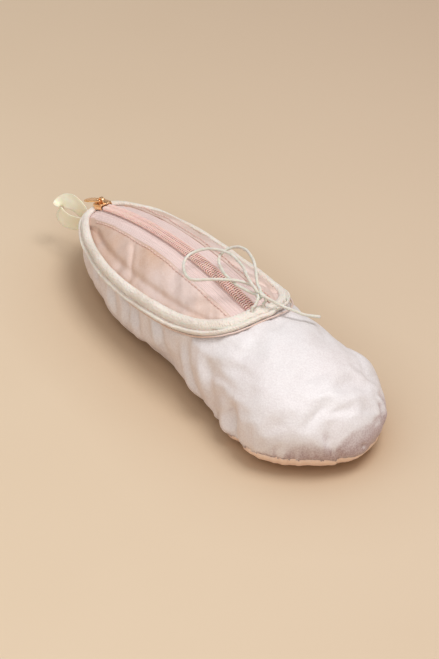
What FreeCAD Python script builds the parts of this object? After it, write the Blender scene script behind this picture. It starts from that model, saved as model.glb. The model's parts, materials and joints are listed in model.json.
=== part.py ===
import FreeCAD, Part
import math
import os
from FreeCAD import Vector
import Sketcher

# Zip pouch in the shape of a ballet slipper: stuffed satin upper and sole, lining,
# curved zip, bound topline with a drawstring bow, and a ribbon loop at the heel.
# Frame, millimetres: +X heel to toe, +Y to the left side, +Z up.
# Origin: centre of the flat underside of the sole, the face the pouch rests on.

# ---- driving dimensions: alias, value, note -------------------------------
SIZES = [
    # cloth layers
    ("satin_thick", 1.0, "satin with its fused backing"),
    ("layer_gap", 0.3, "air between two cloth layers"),
    ("wadding_thick", 2.0, "polyester wadding"),
    ("lining_thick", 0.6, "cotton lining"),
    ("bend_start", 70.0, "where the toe starts to lean, along the pouch"),
    ("toe_bend", 6.0, "how far the toe tip leans to the left"),
    ("seam_in", 4.5, "sole seam, in from the widest outline"),
    ("sole_gap", 0.15, "half of the gap at the sole seam"),
    ("sole_seam_top", 11.0, "height the sole panel wraps up to"),
    # zip
    ("arc_x", -12.1, "centre of the zip's curve, along the pouch"),
    ("arc_z", -231.4, "centre of the zip's curve, height"),
    ("arc_rad", 286.2, "radius of the zip's curve at the top of the coil"),
    ("coil_height", 2.0, "coil height"),
    ("coil_half", 3.1, "half width of the closed chain"),
    ("coil_pitch", 1.6, "tooth pitch"),
    ("strip_in", 1.7, "inner edge of the coil's strip from the centre line"),
    ("strip_thick", 0.9, "thickness of the coil's strip"),
    ("tooth_len", 0.66, "tooth thickness along the chain"),
    ("tooth_lap", 0.5, "how far a tooth crosses the centre line"),
    ("tooth_trim", 0.05, "tooth end, in from the edge of the chain"),
    ("foot_lift", 0.1, "teeth and bar tack start above the coil's underside"),
    ("chain_heel", -102.6, "heel end of the coil"),
    ("chain_throat", 34.6, "throat end of the coil"),
    ("tape_sink", 2.3, "tape face below the crest"),
    ("tape_thick", 0.6, "tape thickness"),
    ("tape_half", 15.5, "half width of both tapes"),
    ("tape_slit", 0.4, "half gap between the tapes"),
    ("panel_sink", 0.6, "panel face below the crest"),
    ("panel_thick", 1.1, "panel satin with its backing"),
    ("panel_edge", 11.5, "folded panel edge from the centre line"),
    ("stitch_row", 13.7, "topstitch row from the centre line"),
    ("stitch_len", 2.3, "one stitch"),
    ("stitch_pitch", 3.0, "stitch pitch"),
    ("thread_rad", 0.2, "thread radius"),
    ("tack_gap", 1.3, "bar tack centre beyond the throat end of the coil"),
    ("tack_len", 1.4, "bar tack along the chain"),
    ("tack_high", 1.6, "bar tack height"),
    ("tack_over", 0.4, "bar tack beyond each edge of the chain"),
    ("tack_round", 0.5, "edge radius of the bar tack"),
    # binding and cord
    ("bind_half_wide", 3.9, "half width of the binding"),
    ("bind_half_thick", 1.9, "half thickness of the binding"),
    ("bind_wall", 0.6, "knit wall"),
    ("bind_lift", 1.3, "binding centre above the cloth edge"),
    ("band_reach", 8.5, "how deep the cloth is parted along the topline"),
    ("cord_rad", 0.7, "elastic cord radius inside the casing"),
    ("cord_exit", 3.4, "cord exit from the centre line"),
    # slider
    ("slider_x", -108.4, "slider centre when closed"),
    ("slider_len", 9.0, "slider length"),
    ("slider_nose", 4.3, "half width at the nose"),
    ("slider_tail", 3.9, "half width at the tail"),
    ("slider_plate", 1.0, "plate thickness"),
    ("slider_over", 0.5, "top plate above the coil"),
    ("slider_under", 3.7, "lower plate face below the coil top"),
    ("plate_bite", 0.3, "how far wedge and flanges run into a plate"),
    ("flange_in", 3.4, "inner face of the side flange"),
    ("flange_drop", 1.7, "flange reach below the coil top"),
    ("wedge_half", 1.1, "half width of the dividing wedge"),
    ("bridge_half_len", 2.7, "half length of the bridge"),
    ("bridge_top", 4.5, "bridge height above the coil"),
    ("bridge_wide", 1.6, "bridge width"),
    ("bridge_hole_half", 1.7, "half length of the bridge hole"),
    ("bridge_hole_top", 3.6, "top of the bridge hole"),
    # pull tab
    ("pin_high", 2.6, "pull pin above the coil"),
    ("pin_rad", 0.5, "pull pin radius"),
    ("pin_half", 2.4, "half length of the pull pin"),
    ("eye_half", 1.2, "half width of the slot round the bridge"),
    ("eye_long", 4.4, "slot length"),
    ("tab_lap", 0.35, "tab root past the pin's centre"),
    ("tab_len", 19.5, "pull tab length from the pin"),
    ("tab_root_half", 2.4, "half width at the root"),
    ("tab_end_half", 2.9, "half width at the end"),
    ("tab_thick", 1.0, "tab thickness"),
    ("tab_droop", 4.6, "degrees the tab droops behind the slider"),
    # ribbon loop
    ("ribbon_wide", 9.0, "ribbon width"),
    ("ribbon_thick", 0.6, "ribbon thickness"),
    # bow
    ("bow_cord", 0.8, "bow cord radius"),
    ("knot_rad", 1.7, "knot ring radius"),
    ("knot_x", 36.0, "knot, along the pouch"),
    ("knot_y", 3.0, "knot, sideways"),
    ("knot_z", 58.6, "knot height"),
]

# Body sections, heel to toe: along, half width, crest, widest height, underside
SECTION_COLUMNS = ("along", "half", "crest", "widest", "under")
SECTIONS = [
    (-115.0, 3.2, 31.5, 28.5, 25.0),
    (-113.6, 8.0, 34.0, 28.2, 20.0),
    (-111.0, 11.6, 36.0, 28.0, 12.0),
    (-107.0, 15.2, 38.4, 27.8, 6.2),
    (-100.0, 19.6, 40.8, 27.5, 1.8),
    (-90.0, 24.2, 43.8, 27.0, 0.2),
    (-75.0, 28.3, 47.6, 26.6, -0.6),
    (-60.0, 31.4, 50.6, 26.0, -0.6),
    (-45.0, 33.1, 52.7, 25.0, -0.6),
    (-28.0, 33.6, 54.2, 23.8, -0.6),
    (-10.0, 33.7, 54.6, 22.6, -0.6),
    (10.0, 34.3, 53.8, 21.4, -0.6),
    (25.0, 35.4, 52.4, 20.4, -0.6),
    (42.0, 36.4, 50.4, 19.4, -0.6),
    (55.0, 37.4, 48.6, 18.4, -0.6),
    (70.0, 39.8, 45.8, 17.4, -0.6),
    (84.0, 40.4, 42.6, 16.4, -0.2),
    (96.0, 36.2, 39.4, 15.4, 1.0),
    (105.0, 29.8, 36.0, 14.8, 2.6),
    (112.0, 21.6, 31.4, 14.4, 5.2),
    (116.6, 13.6, 26.6, 14.2, 7.6),
    (119.2, 6.4, 21.2, 14.0, 9.8),
    (120.0, 2.4, 17.6, 13.8, 11.4),
]

# Left half of the topline, heel centre to throat centre: along, side, height
TOPLINE_COLUMNS = ("along", "side", "high")
TOPLINE = [
    (-113.4, 0.0, 32.8), (-111.4, 7.0, 33.0), (-105.0, 14.2, 33.5),
    (-92.0, 21.4, 34.0), (-76.0, 26.8, 33.9), (-57.0, 30.8, 34.3),
    (-38.0, 31.9, 35.0), (-20.0, 31.7, 36.2), (-4.0, 30.9, 38.3),
    (12.0, 29.2, 41.2), (24.0, 26.4, 44.4), (33.5, 21.4, 47.3),
    (40.0, 14.6, 49.4), (42.2, 7.2, 50.5), (42.4, 0.0, 50.8),
]

doc = FreeCAD.newDocument("slipper_pouch")
sheet = doc.addObject("Spreadsheet::Sheet", "Sizes")


def table_cells(prefix, columns, table):
    """Sheet rows for a table, with aliases such as sec_half_01."""
    return [("%s_%s_%02d" % (prefix, column, number), value, "")
            for number, entry in enumerate(table, 1)
            for column, value in zip(columns, entry)]


def fill_sheet():
    cells = (SIZES + table_cells("sec", SECTION_COLUMNS, SECTIONS)
             + table_cells("top", TOPLINE_COLUMNS, TOPLINE))
    for number, (alias, value, note) in enumerate(cells, 1):
        sheet.set("A%d" % number, alias)
        sheet.set("B%d" % number, repr(float(value)))
        sheet.set("C%d" % number, note)
        sheet.setAlias("B%d" % number, alias)
    doc.recompute()


def dim(alias):
    return float(sheet.get(alias))


def read_table(prefix, columns, count):
    return [tuple(dim("%s_%s_%02d" % (prefix, column, number)) for column in columns)
            for number in range(1, count + 1)]


fill_sheet()
stations = read_table("sec", SECTION_COLUMNS, len(SECTIONS))
topline = read_table("top", TOPLINE_COLUMNS, len(TOPLINE))
heel_x, toe_x = stations[0][0], stations[-1][0]
mid_x = (heel_x + toe_x) / 2
half_length = (toe_x - heel_x) / 2

SIDES = ((1, "left"), (-1, "right"))  # sign of Y, name
Y_AXIS = Vector(0, 1, 0)

# ---- shared helpers -------------------------------------------------------
pieces = []  # (name, object) of everything that is exported


def keep(obj, name):
    obj.Label = name
    pieces.append((name, obj))


def feature(name, shape):
    """Keep a shape that is already built in the pouch's frame."""
    obj = doc.addObject("Part::Feature", name)
    obj.Shape = shape
    obj.Placement = FreeCAD.Placement()
    keep(obj, name)


def closed_wire(points):
    curve = Part.BSplineCurve()
    curve.interpolate(Points=[Vector(*p) for p in points], PeriodicFlag=True)
    return Part.Wire([curve.toShape()])


def oval(centre, first_axis, second_axis, first_rad, second_rad, count=16):
    points = []
    for k in range(count):
        angle = 2 * math.pi * k / count
        points.append(centre + first_axis * (first_rad * math.cos(angle))
                      + second_axis * (second_rad * math.sin(angle)))
    return closed_wire(points)


def even_parameters(curve, count):
    first, last = curve.FirstParameter, curve.LastParameter
    return [first + (last - first) * k / (count - 1) for k in range(count)]


# ---- stuffed form ---------------------------------------------------------
SECTION_POINTS = 28
# exponents that square off the oval section: (sideways, height)
UPPER_POWERS = (0.9, 0.85)
LOWER_POWERS = (0.62, 0.74)
# a section smaller than this after the inset is left out of the loft
LEAST_HALF_WIDTH = 0.4
LEAST_HALF_HEIGHT = 0.6


def lean(x):
    """Sideways offset of the body's centre line."""
    start = dim("bend_start")
    return dim("toe_bend") * ((x - start) / (toe_x - start)) ** 2 if x > start else 0.0


def drawn_in(along, inset):
    """Station moved towards mid length so that each end comes in by inset."""
    return mid_x + (along - mid_x) * (1.0 - inset / half_length)


def section(station, inset):
    along, half, crest, widest, under = station
    x = drawn_in(along, inset)
    middle = 0.5 * (crest + under)
    half_tall = 0.5 * (crest - under)
    points = []
    for k in range(SECTION_POINTS):
        angle = 2 * math.pi * k / SECTION_POINTS
        cosine, sine = math.cos(angle), math.sin(angle)
        if sine >= 0:
            side_power, height_power = UPPER_POWERS
            z = widest + (crest - widest) * sine ** height_power
        else:
            side_power, height_power = LOWER_POWERS
            z = widest - (widest - under) * abs(sine) ** height_power
        y = half * math.copysign(abs(cosine) ** side_power, cosine)
        y *= (half - inset) / half
        z = middle + (z - middle) * (half_tall - inset) / half_tall
        points.append((x, y + lean(x), z))
    return closed_wire(points)


forms = {}


def form(inset):
    """The closed stuffed form, set in by inset, with a flat underside."""
    if inset not in forms:
        wires = [section(station, inset) for station in stations
                 if station[1] - inset > LEAST_HALF_WIDTH
                 and 0.5 * (station[2] - station[4]) - inset > LEAST_HALF_HEIGHT]
        body = Part.makeLoft(wires, True, False)
        below_sole = Part.makeBox(400, 200, 60, Vector(-200, -100, inset - 60))
        forms[inset] = body.cut(below_sole).Solids[0]
    return forms[inset]


def shell(outer, inner):
    return form(outer).cut(form(inner))


# ---- sole outline ---------------------------------------------------------
SOLE_BOTTOM = -8.0        # below the form, so that the prism cuts right through
SOLE_LEAST_HALF = 5.0     # narrower stations are left out of the outline
SOLE_TIP = 2.6            # heel and toe tips beyond the last stations used


def sole_prism(inset):
    """Upright prism on the sole outline, set in by inset from the seam."""
    seam = dim("seam_in") + inset
    spans = [(drawn_in(station[0], inset), station[1] - seam) for station in stations
             if station[1] - seam > SOLE_LEAST_HALF]
    left = [(x, lean(x) + half, SOLE_BOTTOM) for x, half in spans]
    right = [(x, lean(x) - half, SOLE_BOTTOM) for x, half in reversed(spans)]
    heel = [(spans[0][0] - SOLE_TIP, 0.0, SOLE_BOTTOM)]
    tip_x = spans[-1][0] + SOLE_TIP
    toe = [(tip_x, lean(tip_x), SOLE_BOTTOM)]
    face = Part.Face(closed_wire(heel + left + toe + right))
    return face.extrude(Vector(0, 0, dim("sole_seam_top") - SOLE_BOTTOM))


# ---- topline binding: an oval knit casing ---------------------------------
HALF_FRAMES = 19
# the binding faces away from this line inside the body
SPINE_HEEL, SPINE_THROAT, SPINE_Z = -85.0, 20.0, 22.0


def half_topline_frames():
    """(point, outward normal, lift direction) along the left half, heel to throat."""
    curve = Part.BSplineCurve()
    curve.interpolate(Points=[Vector(*p) for p in topline],
                      InitialTangent=Vector(0, 1, 0), FinalTangent=Vector(0, -1, 0))
    frames = []
    for k, parameter in enumerate(even_parameters(curve, HALF_FRAMES)):
        point = curve.value(parameter)
        tangent = curve.tangent(parameter)[0]
        near = form(0.0).distToShape(Part.Vertex(point))[1][0][0]
        spine = Vector(min(max(point.x, SPINE_HEEL), SPINE_THROAT), 0, SPINE_Z)
        normal = near - spine
        if k in (0, HALF_FRAMES - 1):
            # both ends lie on the plane of symmetry
            tangent = Vector(0, 1 if k == 0 else -1, 0)
            near = Vector(near.x, 0, near.z)
            normal = Vector(normal.x, 0, normal.z)
        normal = (normal - tangent * normal.dot(tangent)).normalize()
        up = tangent.cross(normal).normalize()
        if up.z < 0:
            up = up * -1
        frames.append((near, normal, up))
    return frames


def flip(v):
    return Vector(v.x, -v.y, v.z)


left_frames = half_topline_frames()
loop_frames = left_frames + [tuple(flip(v) for v in frame)
                             for frame in reversed(left_frames[1:-1])]
throat = left_frames[-1][0]


def casing(half_wide, half_thick):
    """Solid oval ring that follows the whole topline."""
    wires = [oval(point + normal * dim("bind_lift"), up, normal, half_wide, half_thick)
             for point, normal, up in loop_frames]
    solid = Part.makeLoft(wires, True, False, True)
    # the closed loft may come back as a bare shell, or inside out
    solid = solid.Solids[0] if solid.Solids else Part.Solid(solid.Shells[0])
    if solid.Volume < 0:
        solid.reverse()
    return solid


EXIT_CLEARANCE = 0.35     # cord hole radius beyond the bow cord's
EXIT_DEPTH = 6.0
EXIT_BACK, EXIT_UP = 0.4, 1.3    # start of the hole: heelward of and above the throat
EXIT_AXIS = Vector(-0.1, 0, 1)


def topline_binding():
    """Hollow casing with two cord exits at the throat."""
    half_wide, half_thick = dim("bind_half_wide"), dim("bind_half_thick")
    wall = dim("bind_wall")
    shape = casing(half_wide, half_thick).cut(casing(half_wide - wall, half_thick - wall))
    for side, _ in SIDES:
        start = Vector(throat.x - EXIT_BACK, side * dim("cord_exit"), throat.z + EXIT_UP)
        shape = shape.cut(Part.makeCylinder(dim("bow_cord") + EXIT_CLEARANCE, EXIT_DEPTH,
                                            start, EXIT_AXIS))
    return shape


def drawstring_cord():
    """Cord in the casing, open at the throat just beyond its two exits."""
    half_gap = dim("cord_exit") + 1.4
    exit_gap = Part.makeBox(30.0, 2 * half_gap, 40.0, Vector(34.0, -half_gap, 36.0))
    return casing(dim("cord_rad"), dim("cord_rad")).cut(exit_gap)


feature("topline_binding", topline_binding())

# ---- cloth layers ---------------------------------------------------------
band_cutter = casing(dim("bind_half_wide") + dim("layer_gap"), dim("band_reach"))


def parted(layer):
    """Split along the topline: (bag outside the binding, cover inside it)."""
    parts = sorted(layer.cut(band_cutter).Solids, key=lambda part: -part.Volume)
    return parts[0], parts[1]


wadding_outer = dim("satin_thick") + dim("layer_gap")
wadding_inner = wadding_outer + dim("wadding_thick")
lining_outer = wadding_inner + dim("layer_gap")
lining_inner = lining_outer + dim("lining_thick")
outside_sole = sole_prism(-dim("sole_gap"))
inside_sole = sole_prism(dim("sole_gap"))

for material, layer in (("satin", shell(0.0, dim("satin_thick"))),
                        ("wadding", shell(wadding_outer, wadding_inner))):
    feature("upper_" + material, parted(layer)[0].cut(outside_sole))
    feature("sole_" + material, layer.common(inside_sole))
feature("lining_bag", parted(shell(lining_outer, lining_inner))[0])
feature("drawstring_cord", drawstring_cord())


# ---- zip: panels and tapes ------------------------------------------------
def cover_sheet(sink, thick):
    """Sheet inside the topline, sunk below the form's face."""
    return parted(shell(sink, sink + thick))[1]


panel_sheet = cover_sheet(dim("panel_sink"), dim("panel_thick"))
tape_sheet = cover_sheet(dim("tape_sink"), dim("tape_thick"))


def side_strip(side, y_low, y_high):
    """Box over the mouth between two distances from the centre line."""
    y = y_low if side > 0 else -y_high
    return Part.makeBox(190, y_high - y_low, 90, Vector(-130, y, 10))


def zip_tape(side):
    """One tape, cut away round the slider and behind it."""
    tape = tape_sheet.common(side_strip(side, dim("tape_slit"), dim("tape_half")))
    slider_room = Part.makeBox(41.8, 9.6, 60.0, Vector(dim("slider_x") - 35.2, -4.8, 10))
    return tape.cut(slider_room)


# ---- zip: coil on the arc -------------------------------------------------
arc_centre = Vector(dim("arc_x"), 0, dim("arc_z"))
arc_rad = dim("arc_rad")
coil_floor = arc_rad - dim("coil_height")
# first tooth in pitches from the heel end; the two rows interlock
TOOTH_PHASE = {1: 0.3, -1: 0.8}
LAST_TOOTH_CLEAR = 0.4    # pitches kept free at the throat end


def arc_angle(x):
    """Angle from upright, in radians, of the arc above x."""
    return math.asin((x - arc_centre.x) / arc_rad)


def arc_point(x, rad):
    angle = arc_angle(x)
    return arc_centre + Vector(rad * math.sin(angle), 0, rad * math.cos(angle))


def arc_rotation(x, droop=0.0):
    return FreeCAD.Rotation(Y_AXIS, math.degrees(arc_angle(x)) - droop)


def coil_strip(side, start, end):
    """Strip along the outer side of one row of teeth."""
    y_near = dim("strip_in") if side > 0 else -dim("coil_half")
    y_far = y_near + dim("coil_half") - dim("strip_in")
    z_low = arc_centre.z + coil_floor
    z_high = z_low + dim("strip_thick")
    corners = [(y_near, z_low), (y_far, z_low), (y_far, z_high), (y_near, z_high),
               (y_near, z_low)]
    strip = Part.Face(Part.makePolygon([Vector(arc_centre.x, y, z) for y, z in corners]))
    strip.rotate(arc_centre, Y_AXIS, math.degrees(start))
    return strip.revolve(arc_centre, Y_AXIS, math.degrees(end - start))


def coil_tooth(side, angle):
    length, lift = dim("tooth_len"), dim("foot_lift")
    outer = dim("coil_half") - dim("tooth_trim")
    y = -dim("tooth_lap") if side > 0 else -outer
    tooth = Part.makeBox(length, outer + dim("tooth_lap"), dim("coil_height") - lift,
                         Vector(-length / 2, y, coil_floor + lift))
    tooth.rotate(Vector(0, 0, 0), Y_AXIS, math.degrees(angle))
    tooth.translate(arc_centre)
    return tooth


def zip_coil(side):
    """One ribbed row of half the chain."""
    start, end = arc_angle(dim("chain_heel")), arc_angle(dim("chain_throat"))
    step = dim("coil_pitch") / arc_rad
    teeth = []
    angle = start + step * TOOTH_PHASE[side]
    while angle < end - LAST_TOOTH_CLEAR * step:
        teeth.append(coil_tooth(side, angle))
        angle += step
    return coil_strip(side, start, end).multiFuse(teeth)


# ---- zip: topstitching ----------------------------------------------------
STITCH_START, STITCH_END = -94.0, 29.0
MARK_START, MARK_STEP, MARK_COUNT = -95.0, 10.6, 13   # where the panel face is sampled
THREAD_LIFT = 0.12        # air between thread and panel
RIDGE_GUESS_Z = 48.0      # rough height of the row


def crest_height(x, y, solid):
    """Height of the solid's top face above the point (x, y)."""
    line = Part.makeLine(Vector(x, y, 20.0), Vector(x, y, 95.0))
    return max(vertex.Point.z for vertex in solid.common(line).Vertexes)


def topstitch(side):
    """Separate stitches lying on the panel."""
    y = side * dim("stitch_row")
    thread = dim("thread_rad")
    panel_form = form(dim("panel_sink"))
    marks = [MARK_START + MARK_STEP * k for k in range(MARK_COUNT)]
    ridge = Part.BSplineCurve()
    ridge.interpolate(Points=[
        Vector(x, y, crest_height(x, y, panel_form) + thread + THREAD_LIFT) for x in marks])

    def on_ridge(x):
        # project twice, the second time from the height found by the first
        rough = ridge.value(ridge.parameter(Vector(x, y, RIDGE_GUESS_Z)))
        return ridge.value(ridge.parameter(Vector(x, y, rough.z)))

    stitches = []
    x = STITCH_START
    while x < STITCH_END:
        start = on_ridge(x)
        run = on_ridge(x + dim("stitch_len")) - start
        stitches.append(Part.makeCylinder(thread, run.Length, start, run))
        x += dim("stitch_pitch")
    return Part.makeCompound(stitches)


for side, tag in SIDES:
    feature("zip_panel_" + tag,
            panel_sheet.common(side_strip(side, dim("panel_edge"), 60.0)))
    feature("zip_tape_" + tag, zip_tape(side))
    feature("zip_coil_" + tag, zip_coil(side))
    feature("zip_topstitch_" + tag, topstitch(side))


# ---- zip: bar tack across the throat end of the chain ---------------------
def build_bar_tack():
    core = doc.addObject("Part::Box", "bar_tack_core")
    core.setExpression("Length", "Sizes.tack_len * 1 mm")
    core.setExpression("Width", "2 * (Sizes.coil_half + Sizes.tack_over) * 1 mm")
    core.setExpression("Height", "Sizes.tack_high * 1 mm")
    doc.recompute()
    tack = doc.addObject("Part::Fillet", "zip_bar_tack")
    tack.Base = core
    radius = dim("tack_round")
    # the four edges that run across the chain
    tack.Edges = [(number, radius, radius)
                  for number, edge in enumerate(core.Shape.Edges, 1)
                  if abs(edge.Vertexes[0].Point.y - edge.Vertexes[1].Point.y) > 1.0]
    x = dim("chain_throat") + dim("tack_gap")
    rotation = arc_rotation(x)
    corner = Vector(-dim("tack_len") / 2, -(dim("coil_half") + dim("tack_over")), 0)
    base = arc_point(x, coil_floor + dim("foot_lift"))
    tack.Placement = FreeCAD.Placement(base + rotation.multVec(corner), rotation)
    keep(tack, "zip_bar_tack")


build_bar_tack()


# ---- sketch helpers for the slider and pull -------------------------------
# Outlines are (x, y) pairs of sheet expressions in the sketch's own plane.
def value(expression):
    """Work out a sum of products, such as "-Sizes.a*0.5" or "Sizes.a +Sizes.b*0.5"."""
    total = 0.0
    for term in expression.split("+"):
        term = term.strip()
        product = -1.0 if term.startswith("-") else 1.0
        for factor in term.lstrip("-").split("*"):
            if factor.startswith("Sizes."):
                product *= dim(factor.replace("Sizes.", ""))
            else:
                product *= float(factor)
        total += product
    return total


def symmetric(half_outline):
    """Outline from its right half: y made negative, then mirrored back."""
    return [(x, "-" + y) for x, y in half_outline] + half_outline[::-1]


def sketch_on(body, name, role, lift=0.0):
    sketch = body.newObject("Sketcher::SketchObject", name)
    plane = next(f for f in body.Origin.OriginFeatures if f.Role == role)
    sketch.AttachmentSupport = [(plane, "")]
    sketch.MapMode = "FlatFace"
    sketch.AttachmentOffset = FreeCAD.Placement(Vector(0, 0, lift), FreeCAD.Rotation())
    return sketch


def polygon_sketch(body, name, role, outline, lift=0.0):
    """Closed polygon with every corner bound to the sheet."""
    sketch = sketch_on(body, name, role, lift)
    corners = [Vector(value(x), value(y), 0) for x, y in outline]
    count = len(corners)
    for k in range(count):
        sketch.addGeometry(Part.LineSegment(corners[k], corners[(k + 1) % count]), False)
    for k in range(count):
        sketch.addConstraint(Sketcher.Constraint("Coincident", k, 2, (k + 1) % count, 1))
    for k, (x, y) in enumerate(outline):
        for kind, expression in (("DistanceX", x), ("DistanceY", y)):
            number = sketch.addConstraint(
                Sketcher.Constraint(kind, -1, 1, k, 1, value(expression)))
            sketch.setExpression("Constraints[%d]" % number, expression)
    return sketch


def pad_sketch(body, sketch, name, length, midplane=False, downward=False):
    pad = body.newObject("PartDesign::Pad", name)
    pad.Profile = sketch
    if midplane:
        pad.Midplane = True
    pad.Reversed = downward
    pad.setExpression("Length", length)


def polygon_pad(body, name, outline, length, role="XY_Plane", lift=0.0, **options):
    sketch = polygon_sketch(body, name + "_sketch", role, outline, lift)
    pad_sketch(body, sketch, name, length, **options)


# ---- slider ---------------------------------------------------------------
# Own frame: origin on the coil's top, nose towards -X, +Z away from the coil.
def build_slider():
    slider = doc.addObject("PartDesign::Body", "slider_body")
    half = "Sizes.slider_len*0.5"
    nose, tail = "Sizes.slider_nose", "Sizes.slider_tail"
    under, over = dim("slider_under"), dim("slider_over")

    plate = symmetric([("-" + half, nose + "*0.72"), ("-" + half + "*0.8", nose),
                       ("-" + half + "*0.2", nose), (half, tail)])
    plate_thick = "Sizes.slider_plate * 1 mm"
    polygon_pad(slider, "lower_plate", plate, plate_thick, lift=-under, downward=True)
    polygon_pad(slider, "top_plate", plate, plate_thick, lift=over)

    wedge = symmetric([("-" + half + "*0.95", "Sizes.wedge_half"),
                       ("-" + half + "*0.45", "Sizes.wedge_half*0.4")])
    polygon_pad(slider, "wedge", wedge,
                "(Sizes.slider_under + Sizes.slider_over + 2 * Sizes.plate_bite) * 1 mm",
                lift=-under - dim("plate_bite"))

    for side, tag in SIDES:
        sign = "" if side > 0 else "-"
        flange = [("-" + half + "*0.75", sign + "Sizes.flange_in"),
                  (half, sign + "Sizes.flange_in"), (half, sign + tail),
                  ("-" + half + "*0.2", sign + nose), ("-" + half + "*0.75", sign + nose)]
        polygon_pad(slider, "flange_" + tag, flange,
                    "(Sizes.flange_drop + Sizes.slider_over + Sizes.plate_bite) * 1 mm",
                    lift=-dim("flange_drop"))

    # arch over the top plate: the outside, then back along the hole
    end, hole = "Sizes.bridge_half_len", "Sizes.bridge_hole_half"
    top, hole_top = "Sizes.bridge_top", "Sizes.bridge_hole_top"
    foot = "Sizes.slider_over +Sizes.slider_plate*0.5"
    bridge = [("-" + end, foot), ("-" + end, hole_top + "*0.86"),
              ("-" + end + "*0.62", top), (end + "*0.62", top),
              (end, hole_top + "*0.86"), (end, foot),
              (hole, foot), (hole, hole_top + "*0.8"),
              (hole + "*0.6", hole_top), ("-" + hole + "*0.6", hole_top),
              ("-" + hole, hole_top + "*0.8"), ("-" + hole, foot)]
    polygon_pad(slider, "bridge", bridge, "Sizes.bridge_wide * 1 mm",
                role="XZ_Plane", midplane=True)
    doc.recompute()

    x = dim("slider_x")
    slider.Placement = FreeCAD.Placement(arc_point(x, arc_rad), arc_rotation(x))
    keep(slider, "slider_body")


# ---- pull tab -------------------------------------------------------------
# Own frame: origin at the middle of the pin, tab towards -X.
def build_pull_tab():
    pull = doc.addObject("PartDesign::Body", "pull_tab")
    pin = sketch_on(pull, "pin_sketch", "XZ_Plane")
    pin.addGeometry(Part.Circle(Vector(0, 0, 0), Vector(0, 0, 1), dim("pin_rad")), False)
    pin.addConstraint(Sketcher.Constraint("Coincident", 0, 3, -1, 1))
    number = pin.addConstraint(Sketcher.Constraint("Radius", 0, dim("pin_rad")))
    pin.setExpression("Constraints[%d]" % number, "Sizes.pin_rad * 1 mm")
    pad_sketch(pull, pin, "pin", "Sizes.pin_half * 2 mm", midplane=True)

    length, root, end = "-Sizes.tab_len", "Sizes.tab_root_half", "Sizes.tab_end_half"
    tab = symmetric([("Sizes.tab_lap", root), (length + "*0.2", root),
                     (length + "*0.75", end), (length + "*0.93", end + "*0.82"),
                     (length + "*0.99", end + "*0.4")])
    polygon_pad(pull, "tab_plate", tab, "Sizes.tab_thick * 1 mm", midplane=True)
    doc.recompute()
    uncut_volume = pull.Shape.Volume

    eye = symmetric([("-Sizes.eye_long", "Sizes.eye_half"),
                     ("-Sizes.pin_rad*0.6", "Sizes.eye_half")])
    pocket_sketch = polygon_sketch(pull, "eye_sketch", "XY_Plane", eye)
    pocket = pull.newObject("PartDesign::Pocket", "eye")
    pocket.Profile = pocket_sketch
    pocket.Midplane = True
    pocket.setExpression("Length", "Sizes.tab_thick * 3 mm")
    doc.recompute()
    if not pull.Shape.Volume < uncut_volume - 1.0:
        raise RuntimeError("the slot in the pull tab was not cut")

    x = dim("slider_x")
    pull.Placement = FreeCAD.Placement(arc_point(x, arc_rad + dim("pin_high")),
                                       arc_rotation(x, dim("tab_droop")))
    keep(pull, "pull_tab")


build_slider()
build_pull_tab()

# ---- ribbon loop at the heel ----------------------------------------------
RIBBON_SECTIONS = 33
# (centre of the ribbon, direction of its width)
RIBBON_PATH = [
    ((-116.4, -9.2, 24.3), (0.02, -0.1, 1)),
    ((-121.0, -10.8, 22.9), (0.05, -0.12, 1)),
    ((-127.5, -12.2, 21.6), (0.1, -0.12, 1)),
    ((-133.3, -12.7, 21.8), (0.14, 0.0, 1)),
    ((-138.0, -11.7, 23.6), (0.05, 0.1, 1)),
    ((-138.6, -9.7, 26.6), (-0.1, 0.2, 1)),
    ((-135.2, -7.9, 29.0), (-0.25, 0.3, 1)),
    ((-130.3, -6.8, 30.2), (-0.33, 0.3, 1)),
    ((-125.0, -6.1, 29.6), (-0.28, 0.22, 1)),
    ((-121.0, -5.6, 27.8), (-0.15, 0.1, 1)),
    ((-118.0, -5.3, 25.4), (0, 0.05, 1)),
]


def hang_loop():
    centres = [Vector(*centre) for centre, _ in RIBBON_PATH]
    line = Part.BSplineCurve()
    line.interpolate(Points=centres)
    twist = Part.BSplineCurve()
    twist.interpolate(Points=[Vector(*width) for _, width in RIBBON_PATH],
                      Parameters=[line.parameter(centre) for centre in centres])
    wires = []
    for parameter in even_parameters(line, RIBBON_SECTIONS):
        centre = line.value(parameter)
        tangent = line.tangent(parameter)[0]
        width = twist.value(parameter)
        width = width - tangent * width.dot(tangent)
        across = width.normalize() * (dim("ribbon_wide") / 2)
        normal = tangent.cross(across).normalize() * (dim("ribbon_thick") / 2)
        wires.append(Part.makePolygon([
            centre + across + normal, centre + across - normal,
            centre - across - normal, centre - across + normal,
            centre + across + normal]))
    shape = Part.makeLoft(wires, True, True)
    if shape.Volume < 150:
        raise RuntimeError("the ribbon loop folded over itself: %.1f mm3" % shape.Volume)
    return shape


feature("hang_loop", hang_loop())

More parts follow.
